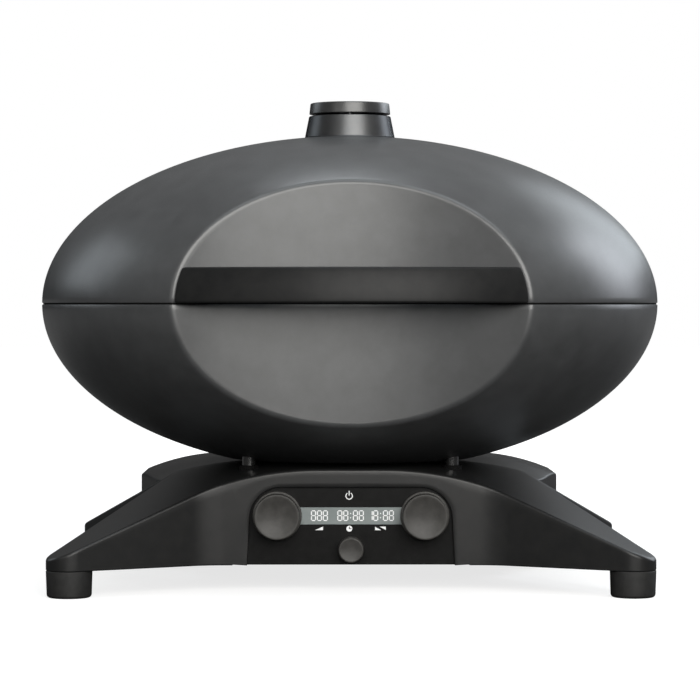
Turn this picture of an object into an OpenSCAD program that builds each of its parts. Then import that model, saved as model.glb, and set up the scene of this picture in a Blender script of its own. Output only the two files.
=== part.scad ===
// Countertop electric grill: a lens-shaped cast body with a hinged lid, a chimney with a twist damper,
// and a four-legged base that holds the controls. Front is -Y, the floor is Z = 0.

/* [Body] */
// Radius of the round body seen from above
body_radius = 290; // [260:1:330]
// Rise of the lid above the seam
body_rise = 158; // [150:1:175]
// Wall of the cast lid and bowl
shell_wall = 5; // [4:0.5:6]
// Gap between the two rims
seam_gap = 2.4; // [1.8:0.1:3]
// Depth of the bowl's flat underside below the seam
bowl_depth = 145; // [135:1:160]
// Radius of the bowl's flat underside
bowl_flat = 115.2; // [105:0.1:122]
// Depth of the slice that makes the back flat
back_depth = 40; // [37:1:48]

/* [Front scoop] */
// Radius of the hollow front face seen from above
scoop_radius = 380; // [370:1:400]
// Depth of the scoop behind the body's front
scoop_depth = 78; // [70:1:82]

/* [Handle] */
// Height of the handle bar
handle_height = 30; // [24:1:34]
// Thickness of the handle bar
handle_thickness = 15; // [13:0.5:18]
// Thickness of the pads that stand the handle off the lid
handle_pad = 2.2; // [1.6:0.1:3]
// Distance of the handle's screws from the bar's inner curve
handle_screw_edge = 1.8; // [1.4:0.1:2.4]

/* [Chimney] */
// Radius of the chimney where it meets the lid
chimney_foot = 42.6; // [40:0.1:44]
// Radius of the chimney at its top
chimney_neck = 38.5; // [38:0.1:40]
// Height of the chimney's top above the seam
chimney_top = 177; // [175:0.5:184]
// Smoke passage through the chimney
chimney_bore = 28; // [26:0.5:29]
// Open slit under the damper cap
cap_gap = 2; // [1.6:0.1:3]
// Height of the damper cap
cap_height = 10.5; // [9:0.5:12]

/* [Grate and heating] */
// Depth of the seats that carry the grates below the seam
grate_seat = 26; // [22:1:30]
// Thickness of the cast grates
grate_thickness = 10; // [8:1:12]
// Spacing of the grate's bars
bar_pitch = 16; // [14:1:20]
// Open width between two bars
bar_slot = 8.5; // [7:0.5:9]
// Diameter of the heating tubes
tube_d = 8; // [6:0.5:9]
// Depth of the heating tubes' centre below the seam
tube_depth = 50; // [46:1:54]
// Bend radius of the outer heating loop
outer_loop = 150; // [140:1:158]
// Bend radius of the inner heating loop
inner_loop = 88; // [80:1:96]
// Radius of the drip pan's rim
pan_radius = 185; // [170:1:190]

/* [Base] */
// Height of the base's flat top above the floor
base_top = 110; // [108:0.5:114]
// Height of the base's lower edge above the floor
base_bottom = 24; // [22:1:28]
// Wall of the base housing
base_wall = 4; // [3:0.5:4.5]
// Sideways distance of each foot from the middle
foot_x = 248; // [238:1:258]
// Fore-and-aft distance of each foot from the middle
foot_y = 198; // [190:1:206]
// Radius of the feet and leg tips
foot_radius = 20.5; // [19:0.5:22]
// Distance of the front and rear walls from the middle
wall_y = 156; // [152:1:160]
// Half the width of the straight front wall
wall_half = 128; // [122:1:132]
// Distance of the side notches from the middle
notch_x = 165; // [160:1:172]
// Half the width of the raised rear deck
deck_half = 204.5; // [198:0.5:210]
// Radius of the pegs that stand the bowl on the base
peg_radius = 6; // [5:0.5:7]
// Height of the pegs under the bowl's flat underside
peg_height = 3; // [2:0.5:8]
// Sideways distance of the pegs from the middle
peg_x = 93; // [90:1:96]
// Fore-and-aft distance of the pegs from the middle
peg_y = 90; // [86:1:94]

/* [Controls] */
// Half the width of the control panel at its lower edge
panel_half = 93; // [90:1:96]
// Height of the control panel's upper edge above the floor
panel_top = 94; // [92:0.5:95]
// Thickness of the control panel
panel_thickness = 3; // [2:0.5:4]
// Sideways distance of the two large knobs from the middle
knob_x = 66; // [64:0.5:67]
// Height of the large knobs' axes above the floor
knob_z = 68.4; // [66:0.1:70]
// Radius of a large knob's dished face
knob_radius = 20.4; // [18:0.1:20.8]
// How far a large knob stands out from the panel
knob_length = 23; // [20:0.5:26]
// Height of the push button's axis above the floor
button_z = 38.4; // [38:0.1:39]
// Radius of the push button
button_radius = 11.6; // [10:0.1:11.8]
// Travel of the push button
button_travel = 2; // [1.5:0.1:2.5]
// Half the width of the display window
window_half = 50; // [46:0.5:54]
// Height of the display window
window_height = 16; // [14:0.5:18]
// Height of the display window's middle above the floor
window_z = 68; // [66:0.5:68]

/* [Hinge] */
// Distance of the hinge axis behind the flat back
hinge_offset = 14; // [13:0.5:16]
// Sideways distance of each hinge from the middle
hinge_x = 100; // [98:1:103]
// Radius of the hinge pins
pin_radius = 4; // [3:0.5:4.5]
// Radius of the hinge knuckles
knuckle_radius = 8; // [7.5:0.5:9]

/* [Clearances] */
// Gap round a turning or sliding shaft
running_gap = 0.05; // [0.02:0.01:0.1]
// Gap between fixed pieces that are fitted by hand
fit_gap = 0.3; // [0.2:0.05:0.4]

/* [Hidden] */
$fn = 64;

// Colours
coat = [0.20, 0.21, 0.22];
black = [0.08, 0.08, 0.085];
panel_black = [0.05, 0.05, 0.055];
steel = [0.62, 0.63, 0.65];
iron = [0.14, 0.14, 0.14];
rubber = [0.06, 0.06, 0.06];
board_green = [0.10, 0.30, 0.18];
ceramic = [0.88, 0.86, 0.80];
window_grey = [0.45, 0.48, 0.48];

// Body: height of the seam above the floor, faces that are cut, full rise of the bowl's curve
seam_height = base_top + peg_height + bowl_depth;
back_face = body_radius - back_depth;
scoop_face = body_radius - scoop_depth;
scoop_axis = -(scoop_face + scoop_radius);
bowl_rise = bowl_depth / sqrt(1 - pow(bowl_flat / body_radius, 2));

// Steps of the body's curve and reach of cutting blocks
curve_steps = 26;
cut_reach = 2 * (body_radius + foot_x);

// Base: slope of the leg tops and the rear deck's fall
leg_turn = 20;
slope_start = 80;
slope_bend = 260;
slope_angle = 21.5;
slope_run = 260;
deck_flat = 113;
deck_bend = 225;
deck_front = -20;
deck_notch = notch_x + 4;
deck_corner = [deck_half, 105];
notch_fillet = 12;
bend_fillet = 60;
tip_fill = 38;
tip_fill_x = foot_x - tip_fill;

// Chimney and damper
spigot_wall = 3.7;
spigot_drop = 4;
chimney_sink = 10;
seat_thickness = 3;
valve_thickness = 3;
seat_ledge = 2;
valve_lift = fit_gap;
seat_z = chimney_top - valve_thickness - valve_lift - seat_thickness;
valve_z = seat_z + seat_thickness + valve_lift;
cap_z = chimney_top + cap_gap;
pivot_radius = 3;
pivot_head = 6;
cap_inset = 0.2;
cap_rim = chimney_neck - cap_inset;
cap_edge = 1;
cap_hollow = 3;
cap_wall = 6;
boss_wall = 2;
port_angle = 50;
port_edge = 6;
port_hub = pivot_head + 3;

// Handle
handle_low = seam_gap / 2 + fit_gap;
handle_mid = handle_low + handle_height / 2;
handle_screw_angle = asin(scoop_half(body_radius - handle_thickness + handle_screw_edge) / scoop_radius);
handle_screw_r = 2.5;
handle_screw_bite = 6;
handle_head_r = 4.5;
handle_head_h = 3;
pad_half = 6;
pad_margin = 3;
handle_head_gap = 0.6;

// Hinge
hinge_y = back_face + hinge_offset;
knuckle_half = 18;
leaf_half = 8;
leaf_plate = 4;
leaf_width = 15;
leaf_low = 6;
leaf_height = 40;
leaf_arm = 10;
hinge_screw_r = 2;
hinge_screw_rise = [18, 36];
pin_head = 2;

// Bowl fittings
lug_width = 16;
lug_reach = 18;
lug_height = 14;
mid_lug_half = 15;
support_y = 60;
support_thickness = 2;
support_width = 12;
support_lug = 12;
support_clear = 4;
pan_wall = 1.5;
pan_floor = 105;
pan_lip = 6;
pan_drop = 12;
pan_rim_depth = tube_depth + tube_d / 2 + pan_drop;
outer_elbow = 22;
inner_elbow = 18;
outer_exit = 45;
inner_exit = 16;
joint_bead = 0.5;
joint_trim = 0.5;
sensor_r = 2.5;
sensor_x = 30;
sensor_length = 90;
sensor_depth = 38;
sensor_collar = 5;
sensor_collar_depth = 4;

// Terminal box and conduit at the back
box_half = 62;
box_top = -22;
box_bottom = -68;
box_depth = 40;
box_wall = 2.5;
box_ear = 12;
block_half = 56;
block_gap = 6;
block_depth = 18;
block_half_height = 10;
conduit_r = 9;
conduit_bore = 7;
conduit_bend = 30;
conduit_back = 17;
conduit_y = back_face + conduit_back;
conduit_z = 76;
conduit_bite = 6;
conduit_drop = seam_height + box_bottom + conduit_bite;
harness_r = 5;
nut_r = 14;
nut_thickness = 5;
conduit_end = wall_y - base_wall - nut_thickness - 2;

// Base fittings
plate_thickness = 2.5;
plate_lift = 0.5;
plate_margin = 6;
plate_half = tip_fill_x - plate_margin;
post_r = 6;
post_x = 135;
post_y = 118;
post_places = [for (x = [-1, 1], y = [-1, 1]) [x * post_x, y * post_y]];
screw_r = 2;
screw_head_r = 3.8;
screw_head_h = 2.4;
screw_bite = 8;
post_hole = 20;
divider_half = 100;
divider_front = 60;
divider_gap = 15;
peg_reach = 12;
peg_boss_r = 9;
peg_boss = 14;
bolt_reach = 10;
foot_edge = 2;
foot_height = base_bottom - fit_gap;
foot_recess_r = 6;
foot_recess = 14;
foot_screw_r = 2.5;
foot_screw_bite = 8;
foot_screw_head = 3;
panel_margin = 6;
panel_corner = 28;
panel_taper = 4;
panel_face = -(wall_y - base_wall);
panel_back = panel_face + panel_thickness;
board_gap = 15;
board_thickness = 1.6;
board_face = panel_back + board_gap;
board_half = 84;
board_low = 34;
board_high = 86;
board_post_r = 3.5;
board_post_x = 78;
board_post_z = [40, 82];
board_screw_r = 1.25;
board_screw_bite = 6;
board_screw_head = [2.6, 1.8];
board_hole = 1.5;
encoder_half = 7;
encoder_depth = 7;
bush_r = 4.6;
shaft_r = 3;
shaft_clear = 0.6;
shaft_hole = shaft_r + shaft_clear;
knob_flare = 1.6;
knob_skirt = knob_radius + knob_flare;
knob_waist = 1.4;
knob_rim = 2;
knob_edge = 1;
knob_roof = 5;
knob_skirt_depth = 7;
knob_groove = 1.6;
knob_dish = 2.2;
knob_clear = 1.2;
button_length = 12;
button_stem = 3.5;
button_flange = 6;
button_flange_depth = 1.6;
switch_half = 5;
window_thickness = 2;
power_board_size = [130, 90];
power_board_y = 40;
power_board_z = 42;
power_post_edge = 7;
power_post_r = 4;
power_post_hole = 8.5;
power_post = power_board_size / 2 - [power_post_edge, power_post_edge];
power_post_places = [for (x = [-1, 1], y = [-1, 1]) [x * power_post.x, power_board_y + y * power_post.y]];
harness_back = 34;
harness_end = power_board_y + harness_back;
relay_size = [28, 12, 20];
relay_pitch = 34;
relay_start = -46;
relay_back = 14;
sink_size = [50, 34, 30];
sink_x = -55;
sink_front = 38;
sink_fin = 2;
sink_floor = 4;
sink_fins = 7;
transformer_size = [36, 30, 28];
transformer_x = 18;
transformer_front = 36;
gland_x = -84;
gland_z = 62;
gland_r = 8;
gland_bore = 4;
gland_flange = 12;
gland_out = 20;
gland_in = 12;
gland_hex = 6;
gland_taper = 2;

// Plane geometry
function unit(angle) = [cos(angle), sin(angle)];
function heading(p, q) = atan2(q.y - p.y, q.x - p.x);
function flat(p) = [p.x, p.y];

// Where the line from p along angle a crosses the line from q along angle b
function crossing(p, a, q, b) =
    let (s = ((q.x - p.x) * sin(b) - (q.y - p.y) * cos(b)) / sin(b - a)) p + s * unit(a);

// Corner b between a and c, rounded to radius r
function round_corner(a, b, c, r, steps = 8) =
    let (
        u = (a - b) / norm(a - b),
        v = (c - b) / norm(c - b),
        half = acos(u * v) / 2,
        middle = b + (u + v) / norm(u + v) * r / sin(half),
        first = b + u * r / tan(half) - middle,
        last = b + v * r / tan(half) - middle,
        start = atan2(first.y, first.x),
        raw = atan2(last.y, last.x) - start,
        turn = raw > 180 ? raw - 360 : raw < -180 ? raw + 360 : raw
    )
    [for (i = [0:steps]) middle + r * unit(start + turn * i / steps)];

// Outline from corners [x, y, radius], listed anticlockwise
function rounded(corners) =
    let (n = len(corners))
    [for (i = [0:n - 1])
        let (b = corners[i], a = corners[(i + n - 1) % n], c = corners[(i + 1) % n])
        each (b[2] > 0 ? round_corner(flat(a), flat(b), flat(c), b[2]) : [flat(b)])];

// The same corners with every side moved inwards by d
function inset(corners, d) =
    let (n = len(corners))
    [for (i = [0:n - 1])
        let (
            b = corners[i],
            u = flat(b) - flat(corners[(i + n - 1) % n]),
            v = flat(corners[(i + 1) % n]) - flat(b),
            nu = [-u.y, u.x] / norm(u),
            nv = [-v.y, v.x] / norm(v),
            outward = u.x * v.y - u.y * v.x > 0,
            p = flat(b) + d * (nu + nv) / (1 + nu * nv)
        )
        [p.x, p.y, b[2] == 0 ? 0 : outward ? max(b[2] - d, 0.2) : b[2] + d]];

// Corners of the base seen from above: one quarter, then its mirror images
function leg_tip() =
    let (
        foot = [foot_x, foot_y],
        notch = [notch_x, 0],
        bend = [wall_half, wall_y],
        notch_angle = heading(notch, foot) - asin(foot_radius / norm(foot - notch)),
        bend_angle = heading(bend, foot) + asin(foot_radius / norm(foot - bend))
    )
    crossing(notch, notch_angle, bend, bend_angle);

function base_corners() =
    let (
        tip = leg_tip(),
        quarter = [[tip.x, tip.y, foot_radius], [wall_half, wall_y, bend_fillet]]
    )
    concat(
        [[notch_x, 0, notch_fillet]],
        quarter,
        [for (i = [1:-1:0]) [-quarter[i].x, quarter[i].y, quarter[i][2]]],
        [[-notch_x, 0, notch_fillet]],
        [for (p = quarter) [-p.x, -p.y, p[2]]],
        [for (i = [1:-1:0]) [quarter[i].x, -quarter[i].y, quarter[i][2]]]
    );

// The raised rear deck seen from above
function deck_corners() = [
    [deck_notch, deck_front, 0], [deck_corner.x, deck_corner.y, 10], [deck_half, cut_reach, 0],
    [-deck_half, cut_reach, 0], [-deck_corner.x, deck_corner.y, 10], [-deck_notch, deck_front, 0]
];

// The control panel seen from the front, as X and Z
function panel_corners() = [
    [-panel_half, base_bottom, 0], [panel_half, base_bottom, 0],
    [panel_half - panel_taper, panel_top, panel_corner], [-panel_half + panel_taper, panel_top, panel_corner]
];

// Body curve
function half_ellipse(rx, rz, from, to) =
    [for (i = [0:curve_steps]) let (a = from + (to - from) * i / curve_steps) [rx * cos(a), rz * sin(a)]];
function inner_radius(depth) =
    (body_radius - shell_wall) * sqrt(1 - pow(depth / (bowl_rise - shell_wall), 2));

// Half the width at which a circle of radius r round the body's axis meets the scoop
function scoop_half(r) =
    let (y = (pow(r, 2) - pow(scoop_radius, 2) + pow(scoop_axis, 2)) / (2 * scoop_axis))
    sqrt(pow(r, 2) - pow(y, 2));

module at_seam() { translate([0, 0, seam_height]) children(); }
module mirrored_x() { children(); mirror([1, 0, 0]) children(); }
module on_corners(x, y) { for (i = [-1, 1], j = [-1, 1]) translate([i * x, j * y, 0]) children(); }
module along_y() { rotate([-90, 0, 0]) children(); }
module along_x() { rotate([0, 90, 0]) children(); }

// What the scoop and the flat back take off the round body
module body_trims(d) {
    translate([0, scoop_axis, 0]) cylinder(r = scoop_radius + d, h = cut_reach, center = true, $fn = 360);
    translate([-cut_reach / 2, back_face - d, -cut_reach / 2]) cube(cut_reach);
}

module dome(d) {
    rotate_extrude($fn = 180)
        polygon(concat([[0, 0]], half_ellipse(body_radius - d, body_rise - d, 0, 90)));
}

module dome_form(d) {
    difference() {
        dome(d);
        body_trims(d);
    }
}

module bowl_form(d) {
    difference() {
        rotate_extrude($fn = 180)
            polygon(concat(
                [[0, -(bowl_depth - d)]],
                half_ellipse(body_radius - d, bowl_rise - d, -asin((bowl_depth - d) / (bowl_rise - d)), 0),
                [[0, 0]]));
        body_trims(d);
    }
}

module seam_slot() {
    translate([-cut_reach / 2, -cut_reach / 2, -seam_gap / 2]) cube([cut_reach, cut_reach, seam_gap]);
}

// A frame at the handle's screw on the right: Z runs from the scoop's face into the lid
module at_handle_screw() {
    at_seam() translate([0, scoop_axis, handle_mid]) rotate([0, 0, -handle_screw_angle])
        translate([0, scoop_radius, 0]) along_y() children();
}

// Frames at the two hinges, and at the screws of one leaf
module at_hinges() { for (x = [-hinge_x, hinge_x]) at_seam() translate([x, 0, 0]) children(); }
module at_leaf_screws(side) {
    at_hinges() for (rise = hinge_screw_rise) translate([0, back_face, side * rise]) along_y() children();
}

module lid_shell() {
    color(coat) difference() {
        at_seam() difference() {
            dome_form(0);
            dome_form(shell_wall);
            seam_slot();
            cylinder(r = chimney_bore + spigot_wall + fit_gap, h = cut_reach);
        }
        mirrored_x() at_handle_screw()
            cylinder(r = handle_screw_r + fit_gap, h = 3 * shell_wall, center = true);
        at_leaf_screws(1) cylinder(r = hinge_screw_r, h = 4 * shell_wall, center = true);
    }
}

// Ring in the seam, standing on the bowl's rim
module rim_seal() {
    seal_in = 1.2;
    seal_width = 2.6;
    color(rubber) at_seam() translate([0, 0, -seam_gap / 2])
        linear_extrude(seam_gap - fit_gap) difference() {
            seal_outline(seal_in);
            seal_outline(seal_in + seal_width);
        }
}

module seal_outline(d) {
    difference() {
        circle(r = body_radius - d, $fn = 180);
        translate([0, scoop_axis]) circle(r = scoop_radius + d, $fn = 360);
        translate([-cut_reach / 2, back_face - d]) square(cut_reach);
    }
}

module chimney_tube() {
    foot_z = body_rise - chimney_sink;
    spigot_z = body_rise - shell_wall - spigot_drop;
    outside = chimney_foot + (chimney_foot - chimney_neck) * (body_rise - foot_z) / (chimney_top - body_rise);
    color(coat) at_seam() difference() {
        union() {
            difference() {
                translate([0, 0, foot_z]) cylinder(r1 = outside, r2 = chimney_neck, h = chimney_top - foot_z);
                dome(0);
            }
            translate([0, 0, spigot_z]) cylinder(r = chimney_bore + spigot_wall, h = seat_z - spigot_z);
        }
        translate([0, 0, spigot_z - 1]) cylinder(r = chimney_bore - seat_ledge, h = cut_reach);
        translate([0, 0, seat_z]) cylinder(r = chimney_bore, h = cut_reach);
    }
}

// Two openings across a damper disc
module damper_ports(thickness) {
    for (turn = [0, 180]) rotate([0, 0, turn - port_angle / 2])
        rotate_extrude(angle = port_angle)
            translate([port_hub, -1]) square([chimney_bore - port_edge - port_hub, thickness + 2]);
}

module damper_seat() {
    color(steel) at_seam() translate([0, 0, seat_z]) difference() {
        cylinder(r = chimney_bore - fit_gap, h = seat_thickness);
        damper_ports(seat_thickness);
        translate([0, 0, -1]) cylinder(r = pivot_radius + running_gap, h = seat_thickness + 2);
    }
}

module damper_pivot() {
    head = 3;
    color(steel) at_seam() union() {
        translate([0, 0, seat_z]) cylinder(r = pivot_radius, h = cap_z + cap_hollow - seat_z);
        translate([0, 0, seat_z - head]) cylinder(r = pivot_head, h = head);
    }
}

module chimney_cap() {
    boss = pivot_head + boss_wall;
    hollow = cap_rim - cap_wall;
    color(coat) at_seam() difference() {
        rotate_extrude() polygon([
            [0, cap_z], [boss, cap_z], [boss, cap_z + cap_hollow],
            [hollow, cap_z + cap_hollow], [hollow, cap_z],
            [cap_rim, cap_z], [cap_rim - cap_edge, cap_z + cap_height - cap_edge],
            [cap_rim - 2 * cap_edge, cap_z + cap_height], [0, cap_z + cap_height]
        ]);
        cylinder(r = pivot_radius + running_gap, h = cap_z + cap_hollow + running_gap);
    }
}

module damper_valve() {
    boss = pivot_head + boss_wall;
    color(steel) at_seam() difference() {
        union() {
            translate([0, 0, valve_z]) difference() {
                cylinder(r = chimney_bore - 2 * fit_gap, h = valve_thickness);
                rotate([0, 0, 90]) damper_ports(valve_thickness);
            }
            translate([0, 0, valve_z + valve_thickness])
                cylinder(r = boss, h = cap_z - valve_z - valve_thickness);
        }
        translate([0, 0, valve_z - 1]) cylinder(r = pivot_radius + running_gap, h = cut_reach);
    }
}

// Bar that carries the body's curve across the scoop
module handle_grip() {
    color(black) difference() {
        at_seam() intersection() {
            difference() {
                dome(0);
                dome(handle_thickness);
            }
            translate([0, scoop_axis, handle_low])
                cylinder(r = scoop_radius - handle_pad, h = handle_height, $fn = 360);
        }
        mirrored_x() at_handle_screw()
            translate([0, 0, -handle_pad - handle_screw_bite])
                cylinder(r = handle_screw_r, h = handle_screw_bite + 1);
    }
}

module handle_pads() {
    pad_rise = handle_height / 2 - pad_margin;
    color(rubber) mirrored_x() difference() {
        intersection() {
            at_seam() translate([0, scoop_axis, handle_mid - pad_rise]) difference() {
                cylinder(r = scoop_radius, h = 2 * pad_rise, $fn = 360);
                translate([0, 0, -1])
                    cylinder(r = scoop_radius - handle_pad, h = 2 * pad_rise + 2, $fn = 360);
            }
            at_handle_screw() cube([2 * pad_half, 2 * pad_rise, 6 * handle_pad], center = true);
        }
        at_handle_screw() cylinder(r = handle_screw_r + fit_gap, h = 6 * handle_pad, center = true);
    }
}

module handle_screws() {
    color(steel) mirrored_x() at_handle_screw() {
        translate([0, 0, -handle_pad - handle_screw_bite])
            cylinder(r = handle_screw_r, h = handle_pad + handle_screw_bite + shell_wall + handle_head_h);
        translate([0, 0, shell_wall + handle_head_gap]) cylinder(r = handle_head_r, h = handle_head_h);
    }
}

// One plate with its arm and knuckles, standing above or below the seam
module hinge_leaf(side, knuckles) {
    difference() {
        union() {
            translate([-leaf_width, back_face, side > 0 ? leaf_low : -leaf_low - leaf_height])
                cube([2 * leaf_width, leaf_plate, leaf_height]);
            for (k = knuckles) translate([k[0], 0, 0]) {
                translate([0, back_face, side > 0 ? 0 : -leaf_arm]) cube([k[1], hinge_offset, leaf_arm]);
                translate([0, hinge_y, 0]) along_x() cylinder(r = knuckle_radius, h = k[1]);
            }
        }
        translate([-2 * knuckle_half, hinge_y, 0]) along_x()
            cylinder(r = pin_radius + running_gap, h = 4 * knuckle_half);
        for (rise = hinge_screw_rise) translate([0, back_face, side * rise]) along_y()
            cylinder(r = hinge_screw_r + fit_gap, h = 3 * leaf_plate, center = true);
    }
}

module lid_hinge_leaves() {
    color(steel) at_hinges() hinge_leaf(1, [[-leaf_half + fit_gap, 2 * (leaf_half - fit_gap)]]);
}

module hinge_brackets() {
    arm = knuckle_half - leaf_half;
    color(steel) at_hinges() hinge_leaf(-1, [[-knuckle_half, arm], [leaf_half, arm]]);
}

module hinge_pins() {
    color(steel) at_hinges() translate([-knuckle_half - pin_head, hinge_y, 0]) along_x() union() {
        cylinder(r = pin_radius, h = 2 * (knuckle_half + pin_head));
        cylinder(r = pin_radius + 2, h = pin_head - fit_gap);
        translate([0, 0, 2 * knuckle_half + pin_head + fit_gap])
            cylinder(r = pin_radius + 2, h = pin_head - fit_gap);
    }
}

module leaf_screws(side) {
    color(steel) at_leaf_screws(side) union() {
        translate([0, 0, -shell_wall]) cylinder(r = hinge_screw_r, h = shell_wall + leaf_plate);
        translate([0, 0, leaf_plate]) cylinder(r = screw_head_r, h = screw_head_h);
    }
}

module lid_hinge_screws() { leaf_screws(1); }
module bracket_screws() { leaf_screws(-1); }

// Seats on the bowl's inside: eight for the grates and four for the heating tubes' bars
module bowl_lugs() {
    lug_base = support_top() - support_thickness - lug_height;
    intersection() {
        bowl_form(shell_wall - 1);
        union() {
            for (a = [0, 40, 140, 180, 220, 320]) rotate([0, 0, a])
                translate([inner_radius(grate_seat) - lug_reach, -lug_width / 2, -grate_seat - lug_height])
                    cube([cut_reach, lug_width, lug_height]);
            for (y = [-(scoop_face - shell_wall) - lug_reach, back_face - shell_wall - lug_reach])
                translate([-mid_lug_half, y, -grate_seat - lug_height])
                    cube([2 * mid_lug_half, 2 * lug_reach, lug_height]);
            for (y = [-support_y, support_y], side = [0, 180]) translate([0, y, 0]) rotate([0, 0, side])
                translate([support_end() - support_lug, -lug_width / 2, lug_base])
                    cube([cut_reach, lug_width, lug_height]);
        }
    }
}

// Upper face of the bars under the heating tubes, and where they end at the wall
function support_top() = -tube_depth - tube_d / 2 - fit_gap;
function support_end() = sqrt(pow(inner_radius(-support_top()), 2) - pow(support_y, 2)) - support_clear;

module at_pegs() { on_corners(peg_x, peg_y) children(); }
module at_tube_exits() {
    for (x = [-outer_exit, -inner_exit, inner_exit, outer_exit])
        at_seam() translate([x, 0, -tube_depth]) children();
}
module at_cover_screws() {
    middle = (box_top + box_bottom) / 2;
    for (x = [-1, 1]) at_seam() translate([x * (box_half + box_ear / 2), back_face, middle])
        along_y() children();
}

module lower_shell() {
    color(coat) difference() {
        at_seam() union() {
            difference() {
                bowl_form(0);
                bowl_form(shell_wall);
                seam_slot();
            }
            bowl_lugs();
        }
        at_tube_exits() translate([0, back_face, 0]) along_y()
            cylinder(r = tube_d / 2 + fit_gap, h = 4 * shell_wall, center = true);
        at_seam() translate([sensor_x, back_face, -sensor_depth]) along_y()
            cylinder(r = sensor_r + fit_gap, h = 4 * shell_wall, center = true);
        at_leaf_screws(-1) cylinder(r = hinge_screw_r, h = 4 * shell_wall, center = true);
        at_cover_screws() cylinder(r = screw_r, h = 4 * shell_wall, center = true);
        at_pegs() cylinder(r = screw_r + fit_gap, h = seam_height - bowl_depth + 8 * shell_wall);
    }
}

// Plan of the space inside the bowl at the grates' seats
module grate_plan(d) {
    difference() {
        circle(r = inner_radius(grate_seat) - d, $fn = 180);
        translate([0, scoop_axis]) circle(r = scoop_radius + shell_wall + d, $fn = 360);
        translate([-cut_reach / 2, back_face - shell_wall - d]) square(cut_reach);
    }
}

// Cast half grate: bars along Y with cross ribs and a solid rim
module grate(side) {
    rim = 12;
    rib = 9;
    rib_gap = 95;
    split = 1;
    color(iron) at_seam() translate([0, 0, -grate_seat]) linear_extrude(grate_thickness)
        mirror([side < 0 ? 1 : 0, 0]) difference() {
            intersection() {
                grate_plan(2);
                translate([split, -cut_reach / 2]) square([cut_reach, cut_reach]);
            }
            intersection() {
                grate_plan(rim + 2);
                difference() {
                    for (x = [bar_pitch:bar_pitch:body_radius]) translate([x, -cut_reach / 2])
                        square([bar_slot, cut_reach]);
                    for (y = [-rib_gap, 0, rib_gap]) translate([0, y - rib / 2]) square([cut_reach, rib]);
                }
            }
        }
}

module grate_left() { grate(-1); }
module grate_right() { grate(1); }

// Horseshoe heating tube whose two ends leave through the back, with a bead over each joint of its bends
module heating_loop(loop, elbow, exit_x) {
    end_angle = acos((exit_x + elbow) / (loop + elbow));
    straight_y = (loop + elbow) * sin(end_angle);
    back_end = back_face + block_gap;
    loop_trim = joint_trim / loop * 180 / PI;
    elbow_trim = joint_trim / elbow * 180 / PI;
    color(iron) at_seam() translate([0, 0, -tube_depth]) union() {
        rotate([0, 0, 180 - end_angle + loop_trim])
            rotate_extrude(angle = 180 + 2 * (end_angle - loop_trim)) translate([loop, 0]) circle(d = tube_d);
        mirrored_x() {
            translate(loop * unit(end_angle)) sphere(d = tube_d + 2 * joint_bead);
            translate([exit_x + elbow, straight_y, 0]) rotate([0, 0, 180 + elbow_trim])
                rotate_extrude(angle = end_angle - 2 * elbow_trim) translate([elbow, 0]) circle(d = tube_d);
            translate([exit_x, straight_y, 0]) sphere(d = tube_d + 2 * joint_bead);
            translate([exit_x, straight_y + joint_trim, 0]) along_y()
                cylinder(d = tube_d, h = back_end - straight_y - joint_trim);
        }
    }
}

module outer_element() { heating_loop(outer_loop, outer_elbow, outer_exit); }
module inner_element() { heating_loop(inner_loop, inner_elbow, inner_exit); }

module element_supports() {
    color(steel) at_seam() for (y = [-support_y, support_y])
        translate([-support_end(), y - support_width / 2, support_top() - support_thickness])
            cube([2 * support_end(), support_width, support_thickness]);
}

module drip_pan() {
    floor_z = -(bowl_depth - shell_wall) + fit_gap;
    color(steel) at_seam() rotate_extrude($fn = 120) polygon([
        [0, floor_z], [pan_floor, floor_z], [pan_radius, -pan_rim_depth - pan_wall],
        [pan_radius + pan_lip, -pan_rim_depth - pan_wall], [pan_radius + pan_lip, -pan_rim_depth],
        [pan_radius - pan_wall, -pan_rim_depth],
        [pan_floor - pan_wall, floor_z + pan_wall], [0, floor_z + pan_wall]
    ]);
}

module temperature_sensor() {
    color(steel) at_seam() translate([sensor_x, back_face, -sensor_depth]) along_y() union() {
        translate([0, 0, -sensor_length]) cylinder(r = sensor_r, h = sensor_length + sensor_collar_depth);
        cylinder(r = sensor_collar, h = sensor_collar_depth);
    }
}

// Shell over the heating tubes' ends
module terminal_cover() {
    height = box_top - box_bottom;
    color(black) difference() {
        at_seam() union() {
            translate([-box_half, back_face, box_bottom]) cube([2 * box_half, box_depth, height]);
            translate([-box_half - box_ear, back_face, (box_top + box_bottom) / 2 - box_ear / 2])
                cube([2 * (box_half + box_ear), box_wall, box_ear]);
        }
        at_seam() translate([-box_half + box_wall, back_face - 1, box_bottom + box_wall])
            cube([2 * (box_half - box_wall), box_depth - box_wall + 1, height - 2 * box_wall]);
        at_cover_screws() cylinder(r = screw_r + fit_gap, h = 4 * box_wall, center = true);
        translate([0, conduit_y, 0])
            cylinder(r = conduit_r + fit_gap, h = seam_height + box_bottom + 2 * box_wall);
    }
}

module terminal_block() {
    color(ceramic) at_seam()
        translate([-block_half, back_face + block_gap, -tube_depth - block_half_height])
            cube([2 * block_half, block_depth, 2 * block_half_height]);
}

module cover_screws() {
    color(steel) at_cover_screws() union() {
        translate([0, 0, -shell_wall]) cylinder(r = screw_r, h = shell_wall + box_wall);
        translate([0, 0, box_wall]) cylinder(r = screw_head_r, h = screw_head_h);
    }
}

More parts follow.
